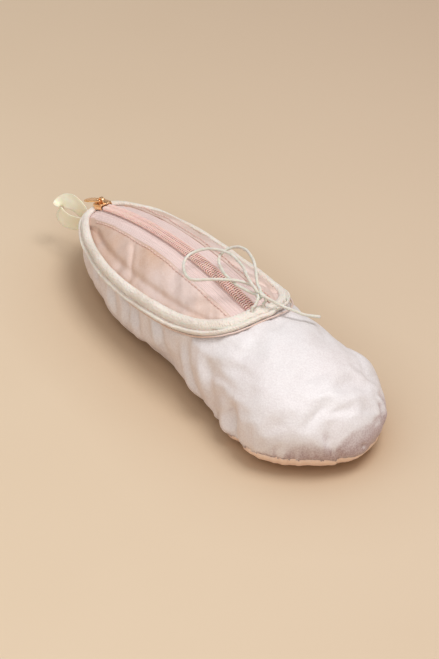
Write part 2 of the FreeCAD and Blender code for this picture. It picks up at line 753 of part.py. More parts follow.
# ---- bow at the throat ----------------------------------------------------
# Cord paths as (x, y, z) offsets from the knot.
LONG_LOOP = [
    (-3.7, 0.5, 0.7), (-6.3, 1.4, 1), (-9.7, -1.2, 2.3), (-13, -5.6, 3.8),
    (-19.7, -14.5, 4.2), (-25.5, -22.2, 3.6), (-30.4, -23.1, 3.2), (-36.7, -20.7, 2.8),
    (-42.4, -16.8, 2.7), (-45.9, -12, 2.9), (-46.4, -7.2, 3.4), (-44.5, -2.2, 4.2),
    (-41.4, 0.7, 4.8), (-36.8, 3.2, 5.4), (-30.8, 4.6, 5.8), (-24.9, 4.2, 5.9),
    (-18, 3, 5.8), (-11.2, 0.5, 5.4), (-5, -1.1, 4.6), (-1.3, -1.5, 3.5),
]
SHORT_LOOP = [
    (-3.1, 2.7, 1.3), (-5.9, 3.3, 1.7), (-9.9, 5.5, 3.8), (-16.9, 9.4, 6),
    (-22.5, 11.3, 6.8), (-28.5, 12.4, 6.8), (-33.7, 11.8, 6), (-37.1, 9.7, 4.6),
    (-38.6, 6.3, 3.2), (-37, 2, 2.4), (-32.8, -1.6, 2.1), (-28.2, -3.5, 2),
    (-23.7, -4.9, 2), (-18.7, -5.6, 2), (-13, -5.7, 1.8), (-7.4, -4.1, 1.1),
    (-3.6, -2.4, 0.4),
]
TAIL = [
    (3.9, 0.6, 1), (5.8, 3, -1), (7.4, 5.6, -3.2), (9.5, 8.7, -5.4),
    (12.9, 13.2, -7.8), (15.8, 17.7, -10.4), (18.5, 25, -13),
]
knot_place = Vector(dim("knot_x"), dim("knot_y"), dim("knot_z"))


def cord_piece(points):
    """Round bow cord through the points."""
    curve = Part.BSplineCurve()
    curve.interpolate(Points=points)
    rad = dim("bow_cord")
    rings = []
    for parameter in even_parameters(curve, 2 * len(points) - 1):
        tangent = curve.tangent(parameter)[0]
        across = Vector(0, 0, 1) - tangent * tangent.z
        if across.Length < 0.2:
            # the cord runs almost upright here
            across = Vector(1, 0, 0) - tangent * tangent.x
        across.normalize()
        rings.append(oval(curve.value(parameter), across, tangent.cross(across), rad, rad, 8))
    return Part.makeLoft(rings, True, False)


def cord_from_knot(offsets):
    return cord_piece([knot_place + Vector(*offset) for offset in offsets])


def bow_leg(side):
    """Cord from an exit in the binding up to the knot."""
    spread = side * 3.4
    return cord_piece([
        Vector(throat.x - 1.6, side * dim("cord_exit"), throat.z + 5.3),
        Vector(knot_place.x + 3.4, knot_place.y * 0.5 + spread, knot_place.z - 1.4),
        knot_place + Vector(1.4, spread, 0.2)])


def build_knot():
    """Ellipsoid with a ring of cord round it."""
    core = doc.addObject("Part::Ellipsoid", "knot_core")
    core.setExpression("Radius1", "Sizes.knot_rad * 1.05 mm")
    core.setExpression("Radius2", "Sizes.knot_rad * 1.25 mm")
    core.setExpression("Radius3", "Sizes.knot_rad * 1.1 mm")
    wrap = doc.addObject("Part::Torus", "knot_wrap")
    wrap.setExpression("Radius1", "Sizes.knot_rad * 1.0 mm")
    wrap.setExpression("Radius2", "Sizes.bow_cord * 1 mm")
    wrap.Placement = FreeCAD.Placement(Vector(0.1, 0, 0),
                                       FreeCAD.Rotation(Vector(1, 0.3, 0), 70))
    knot = doc.addObject("Part::Fuse", "bow_knot")
    knot.Base = core
    knot.Tool = wrap
    knot.Placement = FreeCAD.Placement(knot_place, FreeCAD.Rotation(Y_AXIS, 20))
    keep(knot, "bow_knot")


build_knot()
feature("bow_legs", Part.makeCompound([bow_leg(side) for side, _ in SIDES]))
feature("bow_loops", Part.makeCompound([cord_from_knot(LONG_LOOP),
                                        cord_from_knot(SHORT_LOOP)]))
feature("bow_tail", cord_from_knot(TAIL))
doc.recompute()


# ---- checks and export ----------------------------------------------------
def check_all():
    for obj in doc.Objects:
        bad = [state for state in obj.State if state in ("Invalid", "Error")]
        if bad:
            raise RuntimeError("%s is %s" % (obj.Label, bad))
    for name, obj in pieces:
        shape = obj.Shape
        if shape.isNull() or not shape.isValid() or not shape.Solids:
            raise RuntimeError("bad shape: " + name)
        if min(solid.Volume for solid in shape.Solids) <= 0:
            raise RuntimeError("inside-out shape: " + name)


def export_all():
    os.makedirs("parts", exist_ok=True)
    for old in os.listdir("parts"):
        if old.endswith(".step"):
            os.remove(os.path.join("parts", old))
    for name, obj in pieces:
        obj.Shape.exportStep("parts/%s.step" % name)


check_all()
export_all()
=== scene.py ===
"""A stuffed satin zip pouch in the shape of a slipper, dressed over its CAD pieces.

The sole rests on z = 0, the toe points along +X, the heel along -X, and left is +Y.
Lengths are in millimetres unless a comment says otherwise; MM turns them into metres.
"""
import json
import math

import bmesh
import bpy
import numpy as np
from mathutils import Matrix, Vector, noise

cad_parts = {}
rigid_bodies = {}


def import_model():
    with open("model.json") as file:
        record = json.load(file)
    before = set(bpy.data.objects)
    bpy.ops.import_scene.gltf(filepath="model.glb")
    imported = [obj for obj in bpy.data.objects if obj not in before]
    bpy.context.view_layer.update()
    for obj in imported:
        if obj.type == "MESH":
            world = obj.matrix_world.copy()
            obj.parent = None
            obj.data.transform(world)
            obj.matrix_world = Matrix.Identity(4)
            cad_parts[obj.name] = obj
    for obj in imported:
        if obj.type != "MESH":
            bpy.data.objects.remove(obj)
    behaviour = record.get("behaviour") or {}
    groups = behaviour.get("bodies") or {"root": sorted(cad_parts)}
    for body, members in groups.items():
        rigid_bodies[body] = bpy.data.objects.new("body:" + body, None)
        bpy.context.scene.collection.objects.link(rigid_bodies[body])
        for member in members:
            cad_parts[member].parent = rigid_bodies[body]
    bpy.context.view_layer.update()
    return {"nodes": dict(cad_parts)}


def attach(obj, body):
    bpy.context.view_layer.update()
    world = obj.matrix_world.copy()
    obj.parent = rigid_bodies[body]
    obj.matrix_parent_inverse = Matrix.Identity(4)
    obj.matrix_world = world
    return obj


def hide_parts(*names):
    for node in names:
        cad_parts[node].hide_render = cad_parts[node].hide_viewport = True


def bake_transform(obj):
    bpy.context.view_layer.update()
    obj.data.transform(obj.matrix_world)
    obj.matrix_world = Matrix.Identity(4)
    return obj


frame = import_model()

MM = 0.001

# Body sections: x, half width, crest height, height of the widest line, underside height
STATIONS = np.array([
    (-115.0, 3.2, 31.5, 28.5, 25.0), (-113.6, 8.0, 34.0, 28.2, 20.0), (-111.0, 11.6, 36.0, 28.0, 12.0),
    (-107.0, 15.2, 38.4, 27.8, 6.2), (-100.0, 19.6, 40.8, 27.5, 1.8), (-90.0, 24.2, 43.8, 27.0, 0.2),
    (-75.0, 28.3, 47.6, 26.6, 0.0), (-60.0, 31.4, 50.6, 26.0, 0.0), (-45.0, 33.1, 52.7, 25.0, 0.0),
    (-28.0, 33.6, 54.2, 23.8, 0.0), (-10.0, 33.7, 54.6, 22.6, 0.0), (10.0, 34.3, 53.8, 21.4, 0.0),
    (25.0, 35.4, 52.4, 20.0, 0.0), (42.0, 36.4, 50.4, 17.6, 0.0), (55.0, 37.4, 48.6, 14.6, 0.0),
    (70.0, 39.8, 45.8, 11.8, 0.0), (84.0, 40.4, 42.6, 11.2, 0.1), (96.0, 36.2, 39.4, 12.2, 0.8),
    (105.0, 29.8, 36.0, 13.2, 2.0), (112.0, 21.6, 31.4, 14.0, 3.8), (116.6, 13.6, 26.6, 14.8, 6.2),
    (119.2, 6.4, 21.2, 15.4, 9.2), (120.0, 2.4, 17.6, 15.6, 11.0)])
# Left half of the topline, heel to throat: x, y, z
TOPLINE = np.array([
    (-113.4, 0.0, 32.8), (-111.4, 7.0, 33.0), (-105.0, 14.2, 33.5), (-92.0, 21.4, 34.0),
    (-76.0, 26.8, 33.9), (-57.0, 30.8, 34.3), (-38.0, 31.9, 35.0), (-20.0, 31.7, 36.2),
    (-4.0, 30.9, 38.3), (12.0, 29.2, 41.2), (24.0, 26.4, 44.4), (33.0, 21.4, 47.3),
    (38.4, 14.6, 49.6), (40.2, 7.2, 50.8), (40.4, 0.0, 51.1)])
# The zip runs along an arc in the plane y = 0: its centre and radius
ARC_X, ARC_Z, ARC_R = -12.1, -231.4, 286.2
# Exponents that shape a section above and below its widest line
UPPER_SIDE, UPPER_RISE = 0.9, 0.85
LOWER_SIDE, LOWER_DROP = 0.62, 0.74
TOE_LEAN = 6.0          # how far the toe's tip leans to the left
TOE_LEAN_START = 70
TOE_LEAN_LENGTH = 50


# ---------------------------------------------------------------------------
# curves and the form
# ---------------------------------------------------------------------------
def monotone_cubic(knots, values):
    """A curve through the values that doesn't overshoot between knots."""
    step = np.diff(knots)
    slope = np.diff(values) / step
    tangent = np.zeros(len(knots))
    for i in range(1, len(knots) - 1):
        if slope[i - 1] * slope[i] > 0:
            before, after = 2 * step[i] + step[i - 1], step[i] + 2 * step[i - 1]
            tangent[i] = (before + after) / (before / slope[i - 1] + after / slope[i])
    tangent[0], tangent[-1] = slope[0], slope[-1]

    def curve(at):
        at = np.clip(np.asarray(at, float), knots[0], knots[-1])
        i = np.clip(np.searchsorted(knots, at) - 1, 0, len(knots) - 2)
        part = (at - knots[i]) / step[i]
        rest = 1 - part
        return ((1 + 2 * part) * rest ** 2 * values[i]
                + part * rest ** 2 * step[i] * tangent[i]
                + part * part * (3 - 2 * part) * values[i + 1]
                + part * part * (part - 1) * step[i] * tangent[i + 1])
    return curve


half_width, crest_z, widest_z, underside_z = (
    monotone_cubic(STATIONS[:, 0], STATIONS[:, k]) for k in (1, 2, 3, 4))


def lean(x):
    """Sideways shift of the section's middle at x."""
    x = np.asarray(x, float)
    return np.where(x > TOE_LEAN_START,
                    TOE_LEAN * ((x - TOE_LEAN_START) / TOE_LEAN_LENGTH) ** 2, 0.0)


def form_point(x, angle):
    """Point on the form at a section angle (0 = left side, pi / 2 = crest)."""
    cos, sin = np.cos(angle), np.sin(angle)
    width, crest, widest, under = half_width(x), crest_z(x), widest_z(x), underside_z(x)
    y = np.where(sin >= 0, width * np.sign(cos) * np.abs(cos) ** UPPER_SIDE,
                 width * np.sign(cos) * np.abs(cos) ** LOWER_SIDE)
    z = np.where(sin >= 0, widest + (crest - widest) * np.abs(sin) ** UPPER_RISE,
                 widest - (widest - under) * np.abs(sin) ** LOWER_DROP)
    return np.stack([x + 0 * y, y + lean(x), np.maximum(z, 0.0)], -1)


def top_z(x, y):
    """Height of the form's upper face at (x, y)."""
    widest = widest_z(x)
    cos = np.clip(np.abs((y - lean(x)) / half_width(x)), 0, 0.9999) ** (1 / UPPER_SIDE)
    return widest + (crest_z(x) - widest) * np.sqrt(1 - cos * cos) ** UPPER_RISE


def smooth(value):
    """Ease from 0 to 1."""
    value = np.clip(value, 0, 1)
    return value * value * (3 - 2 * value)


def bell(offset, width, power=2):
    """1 at no offset, falling to 0 past the width."""
    return np.exp(-(offset / width) ** power)


def unit(vectors, guard=0.0):
    return vectors / (np.linalg.norm(vectors, axis=-1, keepdims=True) + guard)


def run_length(points):
    """Distance along the points, starting at 0."""
    return np.r_[0, np.cumsum(np.linalg.norm(np.diff(points, axis=0), axis=1))]


def spline(points, count, closed=False):
    """Catmull-Rom curve through the points, as evenly spaced samples."""
    points = np.asarray(points, float)
    if closed:
        padded = np.vstack([points[-1], points, points[0], points[1]])
    else:
        padded = np.vstack([2 * points[0] - points[1], points, 2 * points[-1] - points[-2]])
    part = np.linspace(0, 1, 40, endpoint=False)[:, None]
    dense = []
    for i in range(len(padded) - 3):
        before, start, end, after = padded[i:i + 4]
        dense.append(0.5 * ((2 * start) + (-before + end) * part
                            + (2 * before - 5 * start + 4 * end - after) * part ** 2
                            + (-before + 3 * start - 3 * end + after) * part ** 3))
    dense = np.vstack(dense)
    dense = np.vstack([dense, dense[0] if closed else points[-1]])
    run = run_length(dense)
    places = np.linspace(0, run[-1], count + 1 if closed else count)
    result = np.stack([np.interp(places, run, dense[:, k]) for k in range(3)], 1)
    return result[:-1] if closed else result


def wobble(point, seed, scale=1.0):
    """Smooth noise at a point."""
    x, y, z = point
    return noise.noise(Vector((x * scale + seed, y * scale - seed * 0.7,
                               z * scale + seed * 1.3)))


def wobble_along(distances, scale, seed):
    """Smooth noise over a list of distances."""
    return np.array([wobble((place * scale, 0, 0), seed) for place in distances])


# ---------------------------------------------------------------------------
# mesh helpers
# ---------------------------------------------------------------------------
def add_to_scene(name, data):
    ob = bpy.data.objects.new(name, data)
    bpy.context.scene.collection.objects.link(ob)
    return ob


def make(name, verts, faces, shade_smooth=True):
    mesh = bpy.data.meshes.new(name)
    mesh.from_pydata([tuple(v) for v in (np.asarray(verts) * MM)], [], faces)
    mesh.validate()
    mesh.update()
    ob = add_to_scene(name, mesh)
    if shade_smooth:
        mesh.polygons.foreach_set("use_smooth", [True] * len(mesh.polygons))
    return ob


def make_solid(name, verts, faces, shade_smooth=True):
    """A mesh object with all its faces turned outward."""
    ob = make(name, verts, faces, shade_smooth)
    edit = bmesh.new()
    edit.from_mesh(ob.data)
    bmesh.ops.recalc_face_normals(edit, faces=edit.faces)
    edit.to_mesh(ob.data)
    edit.free()
    ob.data.update()
    return ob


def apply_modifiers(ob):
    bpy.context.view_layer.update()
    depsgraph = bpy.context.evaluated_depsgraph_get()
    mesh = bpy.data.meshes.new_from_object(ob.evaluated_get(depsgraph), depsgraph=depsgraph)
    old = ob.data
    ob.modifiers.clear()
    ob.data = mesh
    bpy.data.meshes.remove(old)
    mesh.polygons.foreach_set("use_smooth", [True] * len(mesh.polygons))


def read_vertices(ob, field):
    values = np.empty(len(ob.data.vertices) * 3)
    ob.data.vertices.foreach_get(field, values)
    return values.reshape(-1, 3)


def coords(ob):
    return read_vertices(ob, "co") / MM


def set_coords(ob, points):
    ob.data.vertices.foreach_set("co", (np.asarray(points) * MM).ravel())
    ob.data.update()


def join(name, parts):
    """Join the parts into the first one."""
    for ob in bpy.data.objects:
        ob.select_set(False)
    for ob in parts:
        ob.select_set(True)
    bpy.context.view_layer.objects.active = parts[0]
    bpy.ops.object.join()
    joined = bpy.context.view_layer.objects.active
    joined.name = name
    return joined


def sheet(name, outer, thick, normals):
    """A closed sheet: outer[u, v] is one face, the other lies thick below it."""
    rows, columns = outer.shape[:2]
    inner = outer - normals * thick
    verts = np.vstack([outer.reshape(-1, 3), inner.reshape(-1, 3)])
    under = rows * columns
    faces = []

    def wall(a, b):
        faces.append((a, b, under + b, under + a))

    for i in range(rows - 1):
        here, there = i * columns, (i + 1) * columns
        for j in range(columns - 1):
            quad = (here + j, there + j, there + j + 1, here + j + 1)
            faces.append(quad)
            faces.append(tuple(under + k for k in reversed(quad)))
        wall(there, here)
        wall(here + columns - 1, there + columns - 1)
    last = (rows - 1) * columns
    for j in range(columns - 1):
        wall(j, j + 1)
        wall(last + j + 1, last + j)
    return make_solid(name, verts, faces)


def ring_faces(rings, sides, closed):
    """Quads that join each ring of vertices to the next."""
    faces = []
    for i in range(rings if closed else rings - 1):
        here, there = i * sides, (i + 1) % rings * sides
        for k in range(sides):
            k2 = (k + 1) % sides
            faces.append((here + k, here + k2, there + k2, there + k))
    return faces


def tube_data(path, radius, sides, closed=False):
    """Vertices and faces of a tube; the radius is one number or one per point."""
    path = np.asarray(path, float)
    count = len(path)
    radii = np.broadcast_to(radius, count)
    along = unit(np.roll(path, -1, 0) - np.roll(path, 1, 0) if closed
                 else np.gradient(path, axis=0))
    across = np.array((0.0, 0, 1))
    if abs(across @ along[0]) > 0.95:
        across = np.array((1.0, 0, 0))
    verts = []
    for i in range(count):
        across = unit(across - along[i] * (across @ along[i]))
        third = np.cross(along[i], across)
        for k in range(sides):
            turn = 2 * math.pi * k / sides
            verts.append(path[i] + radii[i] * (math.cos(turn) * across + math.sin(turn) * third))
    faces = ring_faces(count, sides, closed)
    if not closed:
        faces.append(tuple(range(sides))[::-1])
        faces.append(tuple((count - 1) * sides + k for k in range(sides)))
    return verts, faces


def tube(name, path, radius, sides, closed=False):
    return make_solid(name, *tube_data(path, radius, sides, closed))


def tube_bundle(name, strands, sides):
    """Many open tubes in one mesh; each strand is (path, radius)."""
    all_verts, all_faces = [], []
    for path, radius in strands:
        verts, faces = tube_data(path, radius, sides)
        offset = len(all_verts)
        all_verts += verts
        all_faces += [tuple(i + offset for i in face) for face in faces]
    return make_solid(name, all_verts, all_faces)


def stitch(start, end, bow, radius):
    """Path and radii of a short stitch with rounded ends, bowed up."""
    part = np.linspace(0, 1, 5)
    path = np.array(start)[None] * (1 - part)[:, None] + np.array(end)[None] * part[:, None]
    path[:, 2] += bow * 4 * part * (1 - part)
    return path, radius * np.sqrt(np.clip(1 - (2 * part - 1) ** 4, 0.12, 1))


# ---------------------------------------------------------------------------
# materials (texture scales and bump distances are in metres)
# ---------------------------------------------------------------------------
MATERIALS = {}


def srgb(*levels):
    """Linear RGBA from three sRGB levels of 0 to 255."""
    shares = [level / 255 for level in levels]
    return (*(c / 12.92 if c <= 0.04045 else ((c + 0.055) / 1.055) ** 2.4 for c in shares), 1)


class Material:
    """A principled shader, with methods that add nodes and return their output."""

    def __init__(self, name):
        self.data = bpy.data.materials.new(name)
        self.data.use_nodes = True
        self.tree = self.data.node_tree
        self.tree.nodes.clear()
        output = self.node("ShaderNodeOutputMaterial")
        self.shader = self.node("ShaderNodeBsdfPrincipled")
        self.feed(output.inputs[0], self.shader.outputs[0])
        self.object_coords = self.node("ShaderNodeTexCoord").outputs["Object"]
        MATERIALS[name] = self.data

    def feed(self, socket, value):
        """Link the value if it is an output, else store it."""
        if isinstance(value, bpy.types.NodeSocket):
            self.tree.links.new(value, socket)
        else:
            socket.default_value = value

    def fill(self, node, **inputs):
        """Feed inputs by name: from_min goes to "From Min"."""
        for name, value in inputs.items():
            label = name.replace("_", " ").title().replace("Ior", "IOR")
            self.feed(node.inputs[label], value)

    def node(self, kind, **inputs):
        node = self.tree.nodes.new(kind)
        self.fill(node, **inputs)
        return node

    def set(self, **inputs):
        self.fill(self.shader, **inputs)

    def mapped(self, scale, rotation=(0, 0, 0)):
        return self.node("ShaderNodeMapping", scale=scale, rotation=rotation,
                         vector=self.object_coords).outputs[0]

    def noise(self, scale, detail=3, vector=None, roughness=0.55):
        return self.node("ShaderNodeTexNoise", scale=scale, detail=detail, roughness=roughness,
                         vector=vector or self.object_coords).outputs["Fac"]

    def wave(self, scale, vector, direction="X", distortion=0.0):
        node = self.node("ShaderNodeTexWave", scale=scale, distortion=distortion, vector=vector)
        node.wave_type = "BANDS"
        node.bands_direction = direction
        return node.outputs["Fac"]

    def calc(self, operation, first, second):
        node = self.node("ShaderNodeMath")
        node.operation = operation
        self.feed(node.inputs[0], first)
        self.feed(node.inputs[1], second)
        return node.outputs[0]

    def mix(self, factor, first, second):
        """Blend from the first colour to the second."""
        node = self.node("ShaderNodeMix")
        node.data_type = "RGBA"
        for index, value in ((0, factor), (6, first), (7, second)):
            self.feed(node.inputs[index], value)
        return node.outputs[2]

    def remap(self, value, span, to, interpolation="LINEAR"):
        """Carry the values of a span to another span."""
        node = self.node("ShaderNodeMapRange", value=value, from_min=span[0], from_max=span[1],
                         to_min=to[0], to_max=to[1])
        node.interpolation_type = interpolation
        return node.outputs[0]

    def patches(self, pattern, span, first, second, most=1):
        """Soft patches of the second colour as the pattern rises over the span."""
        return self.mix(self.remap(pattern, span, to=(0, most)), first, second)

    def facing(self, normal, direction, span, most):
        """0 to most as the surface turns toward a direction."""
        node = self.node("ShaderNodeVectorMath")
        node.operation = "DOT_PRODUCT"
        self.feed(node.inputs[0], normal)
        self.feed(node.inputs[1], direction)
        return self.remap(node.outputs["Value"], span, to=(0, most), interpolation="SMOOTHSTEP")

    def bumps(self, *layers):
        """Stack bump layers, deepest first; each is (height, distance, strength)."""
        below = None
        for height, distance, strength in layers:
            node = self.node("ShaderNodeBump", height=height, distance=distance,
                             strength=strength)
            if below:
                self.feed(node.inputs["Normal"], below)
            below = node.outputs[0]
        self.set(normal=below)


def satin(name, base, tone_and_shade_patch, roughness, crumple=1.0, metallic=0.12,
          painted_turned_shade=srgb(228, 208, 200), deep_most=0.55, painted_toe_shade=None, painted_sparkle=0.10):
    """Satin cloth.

    tone_and_shade_patch: patch colour, up to deep_most; on the panel it is painted shade and
    warm reflection in the folds, elsewhere a random change of tone; painted_turned_shade: painted
    shade on the cloth turned rightward and to the heel, away from the light; painted_toe_shade:
    painted shade under the toe; painted_sparkle: strength of the painted pale glints of the
    fibres; crumple: depth of the creases.
    """
    mat = Material(name)
    broad = mat.noise(scale=26)
    fine = mat.noise(scale=1500, detail=2)
    # Soft patches of a second colour: on the panel they are painted shade and warm reflection in the
    # folds, elsewhere a random change of tone.
    colour = mat.patches(broad, (0.35, 0.68), base, tone_and_shade_patch, deep_most)
    thread = mat.wave(scale=900, vector=mat.mapped((1, 0.15, 0.15), (0, 0, 0.5)), distortion=1.2)
    pale = tuple(min(1, c * 1.08) for c in base)
    colour = mat.mix(mat.calc("MULTIPLY", thread, 0.05), colour, pale)
    normal = mat.node("ShaderNodeTexCoord").outputs["Normal"]
    # Painted shade: cloth turned rightward and to the heel, away from the light, is mixed toward a
    # darker colour.
    painted_shade_share = mat.facing(normal, direction=(-0.55, -0.78, -0.30), span=(0.25, 0.95), most=0.6)
    colour = mat.mix(painted_shade_share, colour, painted_turned_shade)
    if painted_toe_shade:
        # painted shade: faces toward the toe, a little left, and under are mixed toward a darker mauve
        toe = mat.facing(normal, direction=(0.714, 0.233, -0.65), span=(0.16, 0.66), most=0.92)
        colour = mat.mix(toe, colour, painted_toe_shade)
    # Painted glints: fine pale spots stand in for the sparkle of the satin's fibres.
    sparkle_spots = mat.noise(scale=1150, detail=2)
    colour = mat.patches(sparkle_spots, (0.38, 0.62), colour, srgb(255, 253, 253), painted_sparkle)
    uneven = mat.calc("ADD", mat.calc("MULTIPLY", fine, 0.6), mat.calc("MULTIPLY", broad, 0.4))
    mat.set(base_color=colour,
            roughness=mat.remap(uneven, (0.3, 0.7), to=(roughness - 0.09, roughness + 0.12)),
            metallic=metallic, sheen_weight=0.2, sheen_roughness=0.4, specular_ior_level=0.5,
            anisotropic=0.4, subsurface_radius=(1.0, 0.6, 0.5), sheen_tint=(1, 0.93, 0.92, 1))
    crease = mat.noise(scale=95, detail=4, vector=mat.mapped((1, 1, 0.6)), roughness=0.6)
    mat.bumps((crease, 0.0012 * crumple, 0.55), (fine, 0.00022, 0.7), (thread, 0.00003, 0.6))


# These satins carry painted shade and painted pale glints in their colours.
satin("satin_upper", base=srgb(229, 224, 225), tone_and_shade_patch=srgb(223, 211, 210), roughness=0.58,
      painted_toe_shade=srgb(174, 146, 148), painted_sparkle=0.26)
satin("satin_sole", base=srgb(248, 218, 194), tone_and_shade_patch=srgb(240, 204, 178), roughness=0.46,
      painted_turned_shade=srgb(234, 196, 170))
# The panel's patch colour is painted shade and warm reflection in its folds.
satin("satin_panel", base=srgb(233, 211, 203), tone_and_shade_patch=srgb(213, 173, 144), roughness=0.46,
      crumple=1.4, metallic=0.16, painted_turned_shade=srgb(214, 180, 158), deep_most=0.95)

mat = Material("binding_knit")
knit_loops = mat.wave(scale=520, vector=mat.mapped((1, 1, 1), (0, 0.4, 0.7)),
                      direction="DIAGONAL", distortion=2.5)
knit_cells = mat.node("ShaderNodeTexVoronoi", scale=850, vector=mat.object_coords)
mat.set(base_color=mat.patches(mat.noise(scale=60), (0.35, 0.7),
                               srgb(244, 236, 226), srgb(230, 218, 205)),
        roughness=0.78, sheen_weight=0.5, sheen_roughness=0.5, specular_ior_level=0.25,
        subsurface_weight=0.08, subsurface_scale=0.003)
mat.bumps((mat.noise(scale=360, detail=4), 0.0009, 0.6),
          (knit_cells.outputs["Distance"], 0.0005, 0.8), (knit_loops, 0.00015, 0.6))

mat = Material("elastic_cord")
braid = mat.wave(scale=1500, vector=mat.mapped((1, 1, 1), (0.3, 0.2, 0.8)),
                 direction="DIAGONAL", distortion=1.0)
mat.set(base_color=mat.patches(mat.noise(scale=300, detail=2), (0.3, 0.7),
                               srgb(240, 237, 226), srgb(224, 219, 205)),
        roughness=0.6, sheen_weight=0.25, specular_ior_level=0.35,
        subsurface_weight=0.1, subsurface_scale=0.002)
mat.bumps((mat.noise(scale=900, detail=2), 0.0001, 0.4), (braid, 0.00016, 0.7))

mat = Material("sewing_thread")
mat.set(base_color=mat.patches(mat.noise(scale=500, detail=2), (0.3, 0.7),
                               srgb(248, 218, 208), srgb(240, 203, 192)),
        roughness=0.55, sheen_weight=0.3, specular_ior_level=0.4)
twist = mat.wave(scale=2600, vector=mat.mapped((1, 0.4, 0.4), (0, 0, 0.6)), distortion=0.5)
mat.bumps((twist, 0.00006, 0.6))

mat = Material("zip_tape")
weft = mat.wave(scale=900, vector=mat.mapped((1, 0, 0)))
ribs = mat.wave(scale=185, vector=mat.mapped((0, 1, 0)), direction="Y")
uneven = mat.noise(scale=90)
woven = mat.patches(uneven, (0.3, 0.75), srgb(240, 216, 211), srgb(231, 203, 197))
mat.set(base_color=mat.mix(mat.calc("MULTIPLY", ribs, 0.45), woven, srgb(246, 226, 221)),
        roughness=0.62, sheen_weight=0.35, specular_ior_level=0.35)
mat.bumps((uneven, 0.0006, 0.4), (weft, 0.00010, 0.5), (ribs, 0.00030, 0.7))

mat = Material("zip_coil")
mat.set(base_color=mat.patches(mat.noise(scale=500, detail=2), (0.3, 0.7),
                               srgb(248, 216, 206), srgb(238, 200, 189)),
        roughness=0.36, specular_ior_level=0.5, subsurface_weight=0.15, subsurface_scale=0.002)
mat.bumps((mat.noise(scale=1400, detail=2), 0.00005, 0.4))

# Dark colour: painted shade in the gaps between the coil's teeth, on the cord that lies there.
mat = Material("coil_core_cord_painted_shade")
mat.set(base_color=mat.patches(mat.noise(scale=600, detail=2), (0.3, 0.7),
                               srgb(196, 142, 131), srgb(172, 118, 108)),
        roughness=0.8, specular_ior_level=0.1)
mat.bumps((mat.wave(scale=1800, vector=mat.mapped((1, 0.2, 0.2)), distortion=1.0), 0.0001, 0.6))

mat = Material("rose_gold")
fine = mat.noise(scale=900)
mat.set(base_color=mat.patches(mat.noise(scale=150, detail=2), (0.35, 0.7),
                               srgb(255, 214, 168), srgb(245, 194, 144)),
        roughness=mat.remap(fine, (0.3, 0.7), to=(0.16, 0.30)), metallic=1.0)
brushed = mat.wave(scale=1400, vector=mat.mapped((0.2, 1, 0.2)), direction="Y", distortion=3.0)
mat.bumps((fine, 0.00003, 0.5), (brushed, 0.00001, 0.5))

mat = Material("ribbon_satin")
uneven = mat.noise(scale=50)
ribs = mat.wave(scale=1300, vector=mat.mapped((0.3, 0.3, 1), (0.1, 0.1, 0)),
                direction="Z", distortion=0.4)
mat.set(base_color=mat.patches(uneven, (0.35, 0.7), srgb(255, 246, 224), srgb(248, 235, 208)),
        roughness=mat.remap(uneven, (0.3, 0.7), to=(0.30, 0.45)), sheen_weight=0.5,
        specular_ior_level=0.6, anisotropic=0.5, subsurface_weight=0.3, subsurface_scale=0.003)
mat.bumps((mat.noise(scale=140), 0.0005, 0.4), (ribs, 0.00004, 0.5))

mat = Material("lining_cotton")
warp = mat.wave(scale=800, vector=mat.mapped((1, 0, 0)))
weft = mat.wave(scale=800, vector=mat.mapped((0, 1, 1)), direction="Y")
uneven = mat.noise(scale=70)
mat.set(base_color=mat.patches(uneven, (0.3, 0.75), srgb(232, 208, 202), srgb(218, 190, 183)),
        roughness=0.85, sheen_weight=0.3, specular_ior_level=0.2)
mat.bumps((uneven, 0.001, 0.5), (weft, 0.0001, 0.5), (warp, 0.0001, 0.5))

mat = Material("wadding_fibre")
fibres = mat.noise(scale=300, detail=5)
mat.set(base_color=mat.mix(fibres, srgb(246, 245, 240), srgb(226, 224, 216)),
        roughness=0.95, sheen_weight=0.6, specular_ior_level=0.1,
        subsurface_weight=0.2, subsurface_scale=0.004)
mat.bumps((fibres, 0.001, 0.8))

# The material of each CAD piece
CAD_PIECES = {
    "satin_upper": ("upper_satin",),
    "satin_sole": ("sole_satin",),
    "wadding_fibre": ("upper_wadding", "sole_wadding"),
    "lining_cotton": ("lining_bag",),
    "binding_knit": ("topline_binding",),
    "elastic_cord": ("drawstring_cord", "bow_knot", "bow_legs", "bow_loops", "bow_tail"),
    "sewing_thread": ("zip_bar_tack", "zip_topstitch_left", "zip_topstitch_right"),
    "satin_panel": ("zip_panel_left", "zip_panel_right"),
    "zip_tape": ("zip_tape_left", "zip_tape_right"),
    "zip_coil": ("zip_coil_left", "zip_coil_right"),
    "rose_gold": ("slider_body", "pull_tab"),
    "ribbon_satin": ("hang_loop",),
}


def give_material(ob, material):
    ob.data.materials.clear()
    ob.data.materials.append(MATERIALS[material])


for material, pieces in CAD_PIECES.items():
    for piece in pieces:
        give_material(frame["nodes"][piece], material)


def dress(ob, material):
    give_material(ob, material)


# ---------------------------------------------------------------------------
# topline loop and its frames
# ---------------------------------------------------------------------------
def form_normal(point):
    """Outward normal of the form near a point, from the slope of the section rule."""
    centre = np.array(point, float)
    centre[0] = min(max(centre[0], -114.0), 118.0)
    reach = 0.8

    def level(x, y, z):
        """Below 0 inside the form, above 0 outside."""
        widest = widest_z(x)
        across = abs(y - float(lean(x))) / half_width(x)
        if z >= widest:
            height = (z - widest) / (crest_z(x) - widest)
            return across ** (2 / UPPER_SIDE) + height ** (2 / UPPER_RISE) - 1
        depth = (widest - z) / (widest - underside_z(x))
        return across ** (2 / LOWER_SIDE) + depth ** (2 / LOWER_DROP) - 1

    slope = np.zeros(3)
    for k in range(3):
        step = np.zeros(3)
        step[k] = reach
        slope[k] = (level(*(centre + step)) - level(*(centre - step))) / (2 * reach)
    return unit(slope, guard=1e-9)


